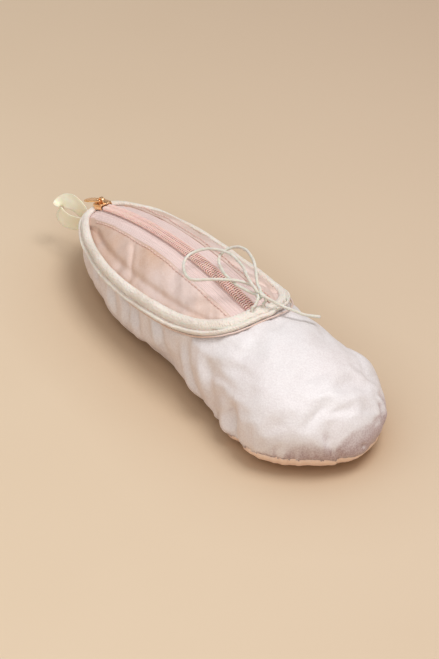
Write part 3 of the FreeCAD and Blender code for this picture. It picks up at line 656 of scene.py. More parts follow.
LOOP_COUNT = 420
loop = spline(np.vstack([TOPLINE, TOPLINE[-2:0:-1] * np.array([1, -1, 1])]), LOOP_COUNT,
              closed=True)
# Set the loop on the form's surface
for i in range(LOOP_COUNT):
    x, y, z = loop[i]
    width = float(half_width(x))
    held_y = math.copysign(min(abs(y), width * 0.985), y)
    if x > 0 and (abs(y) < 0.9 * width or x > 15):
        loop[i, 2] = 0.35 * z + 0.65 * float(top_z(x, held_y))
    loop[i, 1] = held_y


def square_to_loop(vectors):
    """Take out the part that runs along the loop."""
    return unit(vectors - loop_along * np.sum(vectors * loop_along, 1, keepdims=True))


# At each point: along the loop, outward from the form, and inward to the mouth
loop_along = unit(np.roll(loop, -1, 0) - np.roll(loop, 1, 0))
loop_out = square_to_loop(np.array([form_normal(point) for point in loop]))
for _ in range(30):
    neighbours = np.roll(loop_out, 1, 0) + np.roll(loop_out, -1, 0)
    loop_out = unit(0.5 * loop_out + 0.25 * neighbours)
loop_out = square_to_loop(loop_out)
loop_in = np.cross(loop_along, loop_out)
MOUTH_CENTRE = np.array([-35.0, 0, 60.0])
loop_in *= np.sign(np.median(np.sign(np.sum(loop_in * (MOUTH_CENTRE - loop), 1))))
loop_run = run_length(loop)


def topline_y(x):
    """Half width of the mouth at x."""
    return np.interp(x, TOPLINE[:, 0], TOPLINE[:, 1])


# ---------------------------------------------------------------------------
# stuffed body: cloth simulation on a closed form
# ---------------------------------------------------------------------------
HEEL_X, TOE_X = STATIONS[0, 0], STATIONS[-1, 0]
HALF_LENGTH = (TOE_X - HEEL_X) / 2
MIDDLE_X = (TOE_X + HEEL_X) / 2


def closed_form(inset, rings=90, sides=72):
    """Vertices and faces of the form, drawn in by the inset and closed at both ends."""
    half = HALF_LENGTH - inset
    stations = MIDDLE_X + half * -np.cos(np.linspace(0.02, math.pi - 0.02, rings))
    angles = np.linspace(0, 2 * math.pi, sides, endpoint=False)
    verts, faces = [], []
    for x in stations:
        form_x = min(max(float(x) * HALF_LENGTH / half, HEEL_X + 0.05), TOE_X - 0.05)
        ring = form_point(np.full(sides, form_x), angles)
        width = float(half_width(form_x))
        narrow = max(0.05, (width - inset) / width)
        ring[:, 1] = lean(form_x) + (ring[:, 1] - lean(form_x)) * narrow
        high, low = ring[:, 2].max(), ring[:, 2].min()
        middle, tall = 0.5 * (high + low), 0.5 * (high - low)
        ring[:, 2] = middle + (ring[:, 2] - middle) * max(0.05, (tall - inset) / tall)
        ring[:, 0] = x
        verts += list(ring)
    last = (rings - 1) * sides
    for i in range(rings - 1):
        here, there = i * sides, (i + 1) * sides
        for k in range(sides):
            k2 = (k + 1) % sides
            faces.append((here + k, there + k, there + k2, here + k2))
    verts.append(np.mean(verts[:sides], 0))
    verts.append(np.mean(verts[last:last + sides], 0))
    heel_tip = rings * sides
    for k in range(sides):
        k2 = (k + 1) % sides
        faces.append((heel_tip, k, k2))
        faces.append((heel_tip + 1, last + k2, last + k))
    return verts, faces


def nearest(points, line):
    """Distance to the nearest point of a line, and that point's index."""
    distance = np.empty(len(points))
    index = np.empty(len(points), int)
    batch = 2000
    for i in range(0, len(points), batch):
        table = np.linalg.norm(points[i:i + batch, None] - line[None], axis=2)
        index[i:i + batch] = table.argmin(1)
        distance[i:i + batch] = table.min(1)
    return distance, index


def seam_z(x):
    """Height of the sole seam: low along the sides, higher round the toe."""
    x = np.asarray(x, float)
    return np.maximum(underside_z(x) + 2.0, 3.0 + 7.4 * smooth((x - 40) / 52))


def sole_seam():
    """The sole seam, heel to toe on the left and back on the right."""
    x = np.linspace(-112.5, 118.4, 190)
    z = seam_z(x)
    widest = widest_z(x)
    drop = np.clip((widest - z) / (widest - underside_z(x)), 0, 1) ** (1 / LOWER_DROP)
    y = half_width(x) * (1 - drop * drop) ** (LOWER_SIDE / 2)
    left = np.stack([x, lean(x) + y, z], 1)
    right = np.stack([x, lean(x) - y, z], 1)
    toe, heel = (119.3, float(lean(119.3)), 15.2), (-113.8, 0.0, 22.6)
    return np.vstack([left, [toe], right[::-1], [heel]])


def inflate(body):
    """Blow the body up as cloth, held at the topline, the sole seam and the floor."""
    before = coords(body)
    to_line = np.minimum(nearest(before, loop)[0], nearest(before, seam)[0])
    pin = np.clip(1 - (to_line - 2.0) / 3.0, 0, 1)
    pin = np.maximum(pin, np.where(before[:, 2] < 1.3, 1.0, 0.0))
    group = body.vertex_groups.new(name="pin")
    for i in np.nonzero(pin > 0.02)[0]:
        group.add([int(i)], float(pin[i]), "REPLACE")
    cloth = body.modifiers.new("cloth", "CLOTH")
    settings = cloth.settings
    settings.quality = 6
    settings.mass = 0.15
    settings.tension_stiffness = 18
    settings.compression_stiffness = 18
    settings.shear_stiffness = 6
    settings.bending_stiffness = 0.35
    settings.air_damping = 4
    settings.use_pressure = True
    settings.uniform_pressure_force = 4.0
    settings.vertex_group_mass = "pin"
    settings.pin_stiffness = 30
    settings.shrink_min = -0.022
    settings.effector_weights.gravity = 0.0
    cloth.collision_settings.use_self_collision = False
    cloth.collision_settings.use_collision = False
    frames = 24
    cloth.point_cache.frame_start = 1
    cloth.point_cache.frame_end = frames
    scene = bpy.context.scene
    scene.frame_start, scene.frame_end = 1, frames
    for number in range(1, frames + 1):
        scene.frame_set(number)
    depsgraph = bpy.context.evaluated_depsgraph_get()
    move = coords(body.evaluated_get(depsgraph)) - before
    body.modifiers.clear()
    scene.frame_set(1)
    # Ease long moves off toward a limit
    size = np.linalg.norm(move, axis=1, keepdims=True)
    limit = 4.2
    move *= np.where(size > 0, limit * np.tanh(size / limit) / np.maximum(size, 1e-9), 0)
    after = before + move
    after[:, 2] = np.maximum(after[:, 2], 0.05)
    set_coords(body, after)


seam = sole_seam()
body = make_solid("stuffed_form", *closed_form(inset=0.9))
remesh = body.modifiers.new("remesh", "REMESH")
remesh.mode = "VOXEL"
remesh.voxel_size = 0.0034      # metres
apply_modifiers(body)
inflate(body)
subdivide = body.modifiers.new("sub", "SUBSURF")
subdivide.levels = subdivide.render_levels = 1
apply_modifiers(body)

# Creases: start and end as (x, section angle in degrees), width, depth, height of the
# lip as a share of the depth, sideways bend. At 180 is the right side's widest line, at
# 0 the left side's, at 90 the crest.
FOLDS = [
    ((67, 158), (76, 216), 4.0, 4.2, 0.55, 2.0), ((53, 184), (60, 216), 2.2, 2.0, 0.6, 0),
    ((74, 192), (80, 220), 2.2, 1.8, 0.6, 0), ((-50, 164), (-44, 196), 2.6, 2.8, 0.6, 2),
    ((-39, 163), (-31, 198), 2.6, 3.0, 0.6, -2), ((-27, 165), (-20, 198), 2.2, 2.6, 0.8, 1),
    ((-72, 166), (-65, 188), 2.6, 1.8, 0.5, 2), ((-90, 166), (-84, 186), 2.6, 1.3, 0.5, 0),
    ((-8, 160), (4, 200), 2.8, 2.6, 0.7, -2), ((20, 154), (38, 198), 3.0, 2.4, 0.7, 2),
    ((38, 150), (50, 186), 3.2, 1.6, 0.7, -2), ((-48, 12), (-42, -26), 2.4, 1.2, 0.6, 2),
    ((-18, 14), (-10, -22), 2.4, 1.1, 0.6, 0), ((60, 2), (66, -34), 2.4, 1.9, 0.7, 0),
    ((30, 18), (40, -14), 2.4, 1.0, 0.6, 0), ((103, 34), (109, 2), 1.9, 1.8, 0.7, 0),
    ((108, 36), (114, 4), 1.7, 1.3, 0.6, 0), ((86, 58), (97, 20), 2.6, 1.0, 0.6, 2),
    ((112, 138), (116, 176), 1.8, 0.9, 0.6, 0),
]
# Swellings (and one dent) on the left of the toe: height, centre, spread
SWELLINGS = [(4.3, (78, 37, 27), (12.5, 9, 10)), (-1.2, (62, 37, 29), (4.5, 8, 10))]
# A long swelling low on the right side: height, (x, z) centre, (x, z) spread
RIGHT_SWELLING = (2.4, (-48, 10), (34, 9))


def swelling(points, height, centre, spread):
    return height * np.exp(-np.sum(((points - centre) / np.array(spread)) ** 2, 1))


def fold(points, start, end, width, depth, lip, bend):
    """Displacement of a crease with a raised lip beside it."""
    start, end = (form_point(np.array([x]), np.array([math.radians(angle)]))[0]
                  for x, angle in (start, end))
    span = end - start
    length = np.linalg.norm(span)
    along = span / length
    progress = (points - start) @ along / length
    part = np.clip(progress, 0, 1)
    outward = form_normal((start + end) / 2)
    side = np.cross(along, outward)
    path = start + part[:, None] * span + side * (bend * 4 * part * (1 - part))[:, None]
    offset = points - path
    lateral = offset @ side
    distance = np.linalg.norm(offset - (offset @ outward)[:, None] * outward, axis=1)
    near = bell(np.linalg.norm(offset, axis=1), width * 4, power=4)
    fade = np.sin(np.pi * np.clip(progress * 0.9 + 0.05, 0, 1)) ** 0.7
    lip_at = 1.9 * width
    lip_shape = bell(lateral - lip_at, 1.3 * width) * bell(distance - lip_at, 1.6 * width)
    return (-depth * bell(distance, width) + depth * lip * lip_shape) * near * fade


def skin_relief(points):
    """Outward displacement of the skin: gathers, puckers, dents, swellings and creases."""
    x, y, z = points.T
    to_top, top_index = nearest(points, loop)
    to_seam, seam_index = nearest(points, seam)
    toe = smooth((x - 25) / 50)
    # gathers along the sole seam, strongest round the toe, and the sewn groove
    place = run_length(seam)[seam_index]
    gather = (wobble_along(place, scale=0.16, seed=3.1)
              + 0.6 * wobble_along(place, scale=0.42, seed=9.1))
    relief = gather * bell(to_seam, 6.5, power=1.5) * (0.22 + 1.25 * toe) * (z > 0.4)
    relief -= 1.3 * bell(to_seam, 1.7) * (0.35 + 0.65 * toe)
    # puckers by the topline, and a dip outside it
    outside = np.sum((points - loop[top_index]) * loop_in[top_index], 1) < 0
    place = loop_run[top_index]
    pucker = (wobble_along(place, scale=0.13, seed=17.0)
              + 0.5 * wobble_along(place, scale=0.3, seed=27.0))
    relief += pucker * bell(to_top, 13.0, power=1.6) * np.where(outside, 1.25, 0.9)
    relief -= 0.9 * bell(to_top, 4.5) * outside
    # soft dents, large and small
    for i, point in enumerate(points):
        relief[i] += (0.6 * wobble(point, seed=5.0, scale=0.035)
                      + (0.30 - 0.18 * toe[i]) * wobble(point, seed=11.0, scale=0.09))
    for entry in SWELLINGS:
        relief += swelling(points, *entry)
    relief += swelling(points[:, [0, 2]], *RIGHT_SWELLING) * (y < 0)
    for entry in FOLDS:
        relief += fold(points, *entry)
    return relief * smooth(z / 3.0)     # the underside stays flat


skin = coords(body)
skin += read_vertices(body, "normal") * skin_relief(skin)[:, None]
skin[:, 2] = np.maximum(skin[:, 2], 0.02)
set_coords(body, skin)
skin_normals = read_vertices(body, "normal")
skin_faces = [tuple(face.vertices) for face in body.data.polygons]
face_centres = np.array([skin[list(face)].mean(0) for face in skin_faces])
bpy.data.objects.remove(body)

# Which faces lie inside the topline, covered by the panels, and which on the sole
face_x, face_y, face_z = face_centres.T
face_to_top, face_top_index = nearest(face_centres, loop)
inward = np.sum((face_centres - loop[face_top_index]) * loop_in[face_top_index], 1)
mouth_y = np.where((face_x > -113) & (face_x < 42), topline_y(face_x), 0)
inside = (inward > 0) & (face_z > 28) & (face_x < 46) & (np.abs(face_y) < mouth_y + 1.5)
face_seam = seam_z(np.clip(face_x, -113.5, 118.5))
heel = smooth((-90 - face_x) / 18)
on_sole = face_z < face_seam * (1 - heel) + np.minimum(face_seam, 5.0) * heel


def layer(name, mask, out, thick):
    """Solid sheet over the masked skin faces, its outer face at the offset out."""
    chosen = np.nonzero(mask)[0]
    used = sorted({i for k in chosen for i in skin_faces[k]})
    renumber = {vertex: i for i, vertex in enumerate(used)}
    outer = skin[used] + skin_normals[used] * out
    inner = skin[used] + skin_normals[used] * (out - thick)
    count = len(used)
    faces, edges = [], {}
    for k in chosen:
        face = [renumber[i] for i in skin_faces[k]]
        faces.append(tuple(face))
        faces.append(tuple(i + count for i in reversed(face)))
        for a, b in zip(face, face[1:] + face[:1]):
            edges.setdefault((min(a, b), max(a, b)), []).append((a, b))
    for uses in edges.values():
        if len(uses) == 1:
            a, b = uses[0]
            faces.append((b, a, a + count, b + count))
    verts = np.vstack([outer, inner])
    # the underside settles onto the floor
    verts[:, 2] -= float(skin[:, 2].min()) * np.clip(1 - verts[:, 2] / 9.0, 0, 1)
    verts[:, 2] = np.maximum(verts[:, 2], 0.0)
    return make(name, verts, faces)


def biggest(mask):
    """Keep the largest connected patch of the masked faces."""
    chosen = set(np.nonzero(mask)[0].tolist())
    by_edge = {}
    for k in chosen:
        face = skin_faces[k]
        for a, b in zip(face, face[1:] + face[:1]):
            by_edge.setdefault((min(a, b), max(a, b)), []).append(k)
    neighbours = {k: [] for k in chosen}
    for sharing in by_edge.values():
        if len(sharing) == 2:
            neighbours[sharing[0]].append(sharing[1])
            neighbours[sharing[1]].append(sharing[0])
    best, seen = [], set()
    for k in chosen:
        if k in seen:
            continue
        waiting, patch = [k], []
        seen.add(k)
        while waiting:
            current = waiting.pop()
            patch.append(current)
            for other in neighbours[current]:
                if other not in seen:
                    seen.add(other)
                    waiting.append(other)
        if len(patch) > len(best):
            best = patch
    result = np.zeros(len(skin_faces), bool)
    result[best] = True
    return result


upper_mask = biggest(~inside & ~on_sole)
sole_mask = biggest(on_sole)
wadding_mask = biggest(upper_mask & (face_to_top > 3.5))
lining_mask = biggest(~inside & (face_to_top > 2.5))
# name, faces, offset, thickness, material, slot, CAD piece
LAYERS = [
    ("satin_upper", upper_mask, 0.0, 0.7, "satin_upper", "satin", "upper_satin"),
    ("satin_sole_panel", sole_mask, 0.0, 0.7, "satin_sole", "satin_sole", "sole_satin"),
    ("wadding_upper", wadding_mask, -1.3, 1.4, "wadding_fibre", "wadding", "upper_wadding"),
    ("wadding_sole", sole_mask, -1.3, 1.4, "wadding_fibre", "wadding", "sole_wadding"),
    ("lining_inside", lining_mask, -3.3, 0.5, "lining_cotton", "lining", "lining_bag"),
]
for name, mask, out, thick, material, slot, cad_piece in LAYERS:
    ob = layer(name, mask, out, thick)
    dress(ob, material)
    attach(ob, "pouch")
    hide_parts(cad_piece)

# ---------------------------------------------------------------------------
# knit binding: outer roll, sewn groove, wide inner band
# ---------------------------------------------------------------------------
# Section of the binding: inward to the mouth, outward from the form
BINDING_SECTION = [
    (-4.0, -0.9), (-4.45, -0.1), (-4.4, 0.9), (-3.9, 1.6), (-3.2, 1.75), (-2.6, 1.4),
    (-2.25, 0.7), (-2.0, 0.15), (-1.7, 0.3), (-1.2, 1.0), (-0.2, 1.6), (1.0, 1.85),
    (2.3, 1.75), (3.3, 1.25), (4.0, 0.5), (4.2, -0.4), (3.8, -1.1), (2.4, -1.5),
    (0.5, -1.7), (-1.6, -1.7), (-3.2, -1.4)]
BAND_REACH = 4.2        # the section's greatest inward value
GROOVE_IN, GROOVE_OUT = -1.75, 0.80


def by_loop(i, inward, outward):
    """Point beside loop point i."""
    return loop[i] + loop_in[i] * inward + loop_out[i] * outward


def make_binding():
    section = spline([(a, b, 0) for a, b in BINDING_SECTION], 44, closed=True)[:, :2]
    throat = smooth((loop[:, 0] - 20) / 20)
    verts = []
    for i in range(LOOP_COUNT):
        run = loop_run[i]
        swell = (1 + 0.09 * math.sin(run * 0.21) + 0.16 * wobble((run * 0.07, 0, 0), seed=41))
        drift = 0.45 * wobble((run * 0.09, 3, 0), seed=51)
        # the band is narrower at the front left
        front_left = float(smooth((loop[i, 1] - 3) / 9) * smooth((loop[i, 0] - 5) / 14))
        for a, b in section:
            inward = (a + drift + 0.9 * throat[i] * max(a, 0) / BAND_REACH) * (1 - 0.36 * front_left)
            outward = b
            if b > 0:
                outward = b * swell + 0.10 * wobble((run * 0.5, a * 1.3, b), seed=61)
            if a > 0:
                outward -= 0.014 * inward * inward * (0.6 + 0.9 * throat[i])
            verts.append(by_loop(i, inward, outward + 0.35))
    ob = make_solid("binding_knit", verts, ring_faces(LOOP_COUNT, len(section), closed=True))
    dress(ob, "binding_knit")
    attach(ob, "pouch")
    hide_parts("topline_binding")


def make_binding_stitches():
    """Sewing thread along the groove."""
    strands = [stitch(by_loop(i, GROOVE_IN, GROOVE_OUT), by_loop(i + 2, GROOVE_IN, GROOVE_OUT),
                      bow=0.12, radius=0.17)
               for i in range(0, LOOP_COUNT - 3, 3)]
    ob = tube_bundle("binding_stitches", strands, sides=6)
    dress(ob, "sewing_thread")
    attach(ob, "pouch")


def make_binding_edge():
    """A thin satin edge under the outer roll."""
    path = [by_loop(i, -5.1 + 0.12 * wobble((loop_run[i] * 0.2, 0, 0), seed=71), -0.25)
            for i in range(LOOP_COUNT)]
    ob = tube("binding_edge_fold", path, radius=0.5, sides=8, closed=True)
    dress(ob, "satin_panel")
    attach(ob, "pouch")


make_binding()
make_binding_stitches()
make_binding_edge()

# ---------------------------------------------------------------------------
# mouth: panels, topstitching, tapes, coils (side is 1 on the left, -1 on the right)
# ---------------------------------------------------------------------------
PANEL_ROWS, PANEL_COLUMNS = 220, 34
PANEL_X = np.linspace(-109.0, 40.5, PANEL_ROWS)
PANEL_EDGE_Y = 11.5
TOPSTITCH_Y, TOPSTITCH_PITCH, TOPSTITCH_LENGTH = 13.7, 2.9, 2.2
TAPE_ROWS, TAPE_COLUMNS = 200, 46
TAPE_EDGE_Y = 0.45
# Across the tape: distance from the middle, width, height (below 0 is a dip)
TAPE_RIBS = [(6.0, 1.8, -0.35), (4.3, 0.45, 0.26), (7.6, 0.4, 0.16), (9.4, 0.4, 0.16)]
TOOTH_PITCH = 1.45
# One bent tooth: along the zip, out to the side, above the arc
TOOTH = [(0.42, 2.75, -1.75), (0.30, 3.0, -1.2), (0.12, 2.95, -0.55), (0.0, 2.35, -0.18),
         (0.0, 1.3, -0.12), (0.0, 0.55, -0.30), (0.0, -0.12, -0.85), (-0.05, -0.25, -1.35),
         (-0.1, 0.4, -1.75), (-0.25, 1.6, -1.9), (-0.42, 2.6, -1.85)]
CORE_Y, CORE_DEPTH = 1.55, 1.05


def arc_angle(x):
    return math.asin((x - ARC_X) / ARC_R)


def arc_point(angle, height=0.0, y=0.0):
    """Point at a height above the zip's arc."""
    radius = ARC_R + height
    return np.array([ARC_X + radius * math.sin(angle), y, ARC_Z + radius * math.cos(angle)])


COIL_END = arc_angle(36.6)


def bend_with(ob):
    """Bake the object's transform into its mesh; the points it then reads are not used."""
    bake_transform(ob)
    points = coords(ob)


def panel_relief(x, y, part, side):
    """Height of the panel's creases; part is 0 at the zip and 1 at the binding."""
    wall_y = float(topline_y(x))
    middle = math.sin(math.pi * min(1, part * 0.92 + 0.04)) ** 0.6
    slant = x - 1.3 * abs(y)
    relief = 1.5 * middle * wobble((x * 0.05, y * 0.05, 0), seed=21 + side)
    relief += 1.2 * middle * wobble((slant * 0.085, y * 0.03, 0), seed=31 + side)
    crease = 1 - min(1, abs(wobble((slant * 0.06, y * 0.015, 0), seed=53 + side)) * 3.2)
    relief -= 1.5 * middle * crease ** 1.8
    # a groove beside the binding, deeper toward the heel
    groove = 1.1 + 1.1 * float(smooth((-45 - x) / 30))
    relief -= groove * bell(wall_y - 4.9 - abs(y), 1.5) * min(1, max(0, (wall_y - 9) / 6))
    # ripples at the zip edge and at the binding
    if part > 0.08:
        relief += 0.5 * (1 - part) ** 3 * wobble((x * 0.24, 0, 0), seed=33 + side)
    relief += 0.9 * part ** 2 * wobble((x * 0.16, 0, 0), seed=37 + side)
    # the stitched line and the ridge beside it
    relief -= 0.32 * bell(abs(y) - TOPSTITCH_Y, 1.0)
    relief += 0.30 * bell(abs(y) - 12.2, 0.8)
    return relief


def make_panel(side, tag):
    """Satin between the zip and the binding; returns its outer grid."""
    grid = np.empty((PANEL_ROWS, PANEL_COLUMNS, 3))
    for i, x in enumerate(PANEL_X):
        wall_y = topline_y(x)
        wall_z = np.interp(x, TOPLINE[:, 0], TOPLINE[:, 2])
        inner_y = min(PANEL_EDGE_Y + 0.25 * wobble((x * 0.08, side, 0), seed=5), wall_y - 0.4)
        outer_y = max(wall_y - 0.8, inner_y + 0.3)
        rise = (wall_z - 0.4) - float(top_z(x, outer_y)) + 0.6
        for j in range(PANEL_COLUMNS):
            part = j / (PANEL_COLUMNS - 1)
            y = inner_y + (outer_y - inner_y) * part
            z = float(top_z(x, y)) - 0.6 - 0.85 * bell(y - inner_y, 1.0)
            grid[i, j] = (x, side * y, z + rise * part ** 3)
    normals = unit(np.cross(np.gradient(grid, axis=0), np.gradient(grid, axis=1)), guard=1e-9)
    normals *= np.sign(normals[..., 2:3])
    for i in range(PANEL_ROWS):
        for j in range(PANEL_COLUMNS):
            part = j / (PANEL_COLUMNS - 1)
            grid[i, j] += normals[i, j] * panel_relief(grid[i, j, 0], grid[i, j, 1], part, side)
    # near the zip the panel can't sink below the tape
    x, y, z = grid[..., 0], np.abs(grid[..., 1]), grid[..., 2]
    lowest = top_z(x, np.minimum(y, half_width(x) * 0.98)) - 1.5
    grid[..., 2] = np.where(y < 16, np.maximum(z, lowest), z)
    ob = sheet("panel_" + tag, grid, 0.75, normals)
    dress(ob, "satin_panel")
    bend_with(ob)
    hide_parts("zip_panel_" + tag)
    return grid


def make_topstitch(side, tag, grid):
    """A line of stitches on the panel, parallel to the zip."""
    strands = []
    for start_x in np.arange(-93.0, 31, TOPSTITCH_PITCH):
        ends = []
        for x in (start_x, start_x + TOPSTITCH_LENGTH):
            place = (x - PANEL_X[0]) / (PANEL_X[-1] - PANEL_X[0]) * (PANEL_ROWS - 1)
            i = int(place)
            row = grid[i] * (1 - (place - i)) + grid[i + 1] * (place - i)
            j = int(np.argmin(np.abs(np.abs(row[:, 1]) - TOPSTITCH_Y)))
            ends.append((x, side * TOPSTITCH_Y, row[j, 2] + 0.26))
        strands.append(stitch(*ends, bow=0.36, radius=0.36))
    ob = tube_bundle("topstitch_" + tag, strands, sides=6)
    dress(ob, "sewing_thread")
    bend_with(ob)
    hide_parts("zip_topstitch_" + tag)


def make_tape(side, tag):
    """Woven tape with raised ribs and a dip beside the coil."""
    grid = np.empty((TAPE_ROWS, TAPE_COLUMNS, 3))
    for i, x in enumerate(np.linspace(-111.0, 38.0, TAPE_ROWS)):
        outer_y = min(14.8, max(topline_y(x) - 1.2, 2.4))
        inner_y = TAPE_EDGE_Y + 1.5 * smooth((-102.0 - x) / 3.0)
        for j in range(TAPE_COLUMNS):
            y = inner_y + (outer_y - inner_y) * j / (TAPE_COLUMNS - 1)
            z = float(top_z(x, y)) - 2.15
            z += sum(height * bell(y - place, width) for place, width, height in TAPE_RIBS)
            z += 0.22 * wobble((x * 0.06, y * 0.1, side), seed=81) * min(1, y / 5)
            z += 0.4 * float(smooth((y - 10.0) / 2.2))
            grid[i, j] = (x, side * y, z)
    ob = sheet("tape_" + tag, grid, 0.5, normals=np.array([0, 0, 1.0]))
    dress(ob, "zip_tape")
    bend_with(ob)
    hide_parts("zip_tape_" + tag)


def make_coil(side, tag):
    """Bent teeth along the arc; the right half is set half a pitch on."""
    step = TOOTH_PITCH / ARC_R
    start = arc_angle(-104.2) + (0.0 if side > 0 else step / 2)
    tooth = spline(TOOTH, 16)
    strands = []
    for angle in np.arange(start, COIL_END, step):
        forward = np.array([math.cos(angle), 0, -math.sin(angle)])
        strands.append(([arc_point(angle, up, side * out) + forward * along
                         for along, out, up in tooth], 0.40))
    ob = tube_bundle("coil_" + tag, strands, sides=8)
    dress(ob, "zip_coil")
    bend_with(ob)
    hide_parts("zip_coil_" + tag)


def make_core(side, tag):
    """The flattened cord inside the coil; its dark colour is painted shade between the teeth."""
    middle = side * CORE_Y
    angles = np.linspace(arc_angle(-103.8), COIL_END, 160)
    path = [arc_point(angle, -CORE_DEPTH, middle) for angle in angles]
    ob = tube("coil_core_" + tag, path, radius=0.62, sides=8)
    points = coords(ob)
    points[:, 1] = middle + (points[:, 1] - middle) * 1.75
    set_coords(ob, points)
    dress(ob, "coil_core_cord_painted_shade")
    bend_with(ob)


for side, tag in ((1, "left"), (-1, "right")):
    panel_grid = make_panel(side, tag)
    make_topstitch(side, tag, panel_grid)
    make_tape(side, tag)
    make_coil(side, tag)
    make_core(side, tag)


# ---------------------------------------------------------------------------
# slider and pull: rounded metal parts, each drawn in its own frame
# ---------------------------------------------------------------------------
SLIDER_ANGLE = arc_angle(-108.4)
PIN_HEIGHT = 2.6
PULL_DROOP = math.radians(6.5)
# Outlines in the slider's plan: x along the zip, y across
PLATE = [(-4.5, -2.9), (-3.4, -4.3), (-0.9, -4.3), (4.5, -3.7),
         (4.5, 3.7), (-0.9, 4.3), (-3.4, 4.3), (-4.5, 2.9)]
WEDGE = [(-4.2, -1.0), (-2.2, -0.4), (-2.2, 0.4), (-4.2, 1.0)]
LEFT_FLANGE = [(-3.2, 3.45), (4.3, 3.2), (4.45, 3.7), (-0.9, 4.28), (-3.3, 4.28)]
# The bridge over the top plate, seen from the side: x, z, outside then inside
BRIDGE = [(-2.9, 1.2), (-2.75, 2.6), (-2.2, 3.8), (-1.1, 4.5), (0.0, 4.65), (1.1, 4.5),
          (2.2, 3.8), (2.75, 2.6), (2.9, 1.2),
          (1.95, 1.2), (1.85, 2.4), (1.4, 3.25), (0.6, 3.65), (-0.6, 3.65), (-1.4, 3.25),
          (-1.85, 2.4), (-1.95, 1.2)]
# The pull's plan from its pin at the origin: right half of the outside, then the opening
PULL_HALF = [(0.5, -1.3), (0.35, -2.2), (-0.4, -2.4), (-5.0, -2.4), (-13.5, -2.85),
             (-17.2, -2.5), (-19.0, -1.3), (-19.4, 0.0)]
PULL_OPENING = [(-0.35, 1.25), (-3.9, 1.2), (-4.6, 0.7), (-4.6, -0.7), (-3.9, -1.2),
                (-0.35, -1.25)]


def prism(outline, start, end, axis="z"):
    """An outline drawn out from start to end along the axis."""
    count = len(outline)
    verts = [(a, b, depth) if axis == "z" else (a, depth, b)
             for depth in (start, end) for a, b in outline]
    faces = [tuple(range(count))[::-1], tuple(range(count, 2 * count))]
    for i in range(count):
        j = (i + 1) % count
        faces.append((i, j, j + count, i + count))
    return make_solid("metal_part", verts, faces, shade_smooth=False)


def rounded(points, radius, segments=4):
    """Round the corners of a polygon."""
    outline = []
    count = len(points)
    for i in range(count):
        before, corner, after = (np.array(points[(i + k) % count], float) for k in (-1, 0, 1))
        back, ahead = before - corner, after - corner
        back_length, ahead_length = np.linalg.norm(back), np.linalg.norm(ahead)
        cut = min(radius, back_length * 0.45, ahead_length * 0.45)
        start, end = corner + back / back_length * cut, corner + ahead / ahead_length * cut
        for k in range(segments + 1):
            part = k / segments
            outline.append(tuple((1 - part) ** 2 * start + 2 * part * (1 - part) * corner
                                 + part * part * end))
    return outline


def metal_piece(name, parts, bevel_width, origin, tilt, ride_on, cad_piece):
    """Join the parts, round their edges and set them in place."""
    ob = join(name, parts)
    bevel = ob.modifiers.new("bevel", "BEVEL")
    bevel.width = bevel_width * MM
    bevel.segments = 3
    bevel.limit_method = "ANGLE"
    bevel.angle_limit = math.radians(32)
    apply_modifiers(ob)
    place = Matrix.Translation(Vector(origin) * MM)
    ob.data.transform(place @ Matrix.Rotation(tilt, 4, "Y"))
    dress(ob, "rose_gold")
    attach(ob, ride_on)
    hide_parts(cad_piece)


plate = rounded(PLATE, radius=1.0)
right_flange = [(x, -y) for x, y in LEFT_FLANGE]
slider_parts = [prism(plate, 0.5, 1.45), prism(plate, -4.7, -3.75), prism(WEDGE, -4.0, 0.8),
                prism(LEFT_FLANGE, -1.7, 0.7), prism(right_flange, -1.7, 0.7),
                prism(BRIDGE, -0.85, 0.85, axis="y")]
metal_piece("slider_metal", slider_parts, bevel_width=0.26, origin=arc_point(SLIDER_ANGLE),
            tilt=SLIDER_ANGLE, ride_on="slider", cad_piece="slider_body")

pull_outline = PULL_HALF + [(x, -y) for x, y in PULL_HALF[-2::-1]] + PULL_OPENING
pin_path = [(0, y, 0) for y in (-1.3, -0.6, 0.6, 1.3)]
pull_parts = [prism(pull_outline, -0.48, 0.48),
              make_solid("pin", *tube_data(pin_path, 0.5, 16), shade_smooth=False)]
metal_piece("pull_metal", pull_parts, bevel_width=0.2,
            origin=arc_point(SLIDER_ANGLE, PIN_HEIGHT),
            tilt=SLIDER_ANGLE - PULL_DROOP, ride_on="pull", cad_piece="pull_tab")

# ---------------------------------------------------------------------------
# ribbon loop at the heel
# ---------------------------------------------------------------------------
# Middle line (x, y, z), then the direction across the ribbon (x, y, z)
RIBBON = np.array([
    (-113.9, -8.9, 24.9, 0, -0.1, 1), (-117.0, -9.5, 24.2, 0.02, -0.1, 1),
    (-121.5, -10.8, 22.8, 0.05, -0.12, 1), (-127.5, -12.1, 21.6, 0.1, -0.12, 1),
    (-133.3, -12.6, 21.8, 0.15, 0.0, 1), (-138.0, -11.6, 23.6, 0.05, 0.15, 1),
    (-138.7, -9.6, 26.6, -0.15, 0.3, 1), (-135.4, -7.9, 29.2, -0.35, 0.38, 0.95),
    (-130.3, -6.8, 30.6, -0.38, 0.36, 0.95), (-125.0, -6.1, 30.0, -0.3, 0.25, 1),
    (-121.0, -5.6, 28.2, -0.15, 0.1, 1), (-117.6, -5.3, 26.2, 0, 0.05, 1),
    (-114.6, -5.1, 25.2, 0, 0.05, 1)])
RIBBON_ROWS, RIBBON_COLUMNS = 90, 15
RIBBON_HALF_WIDTH = 4.5


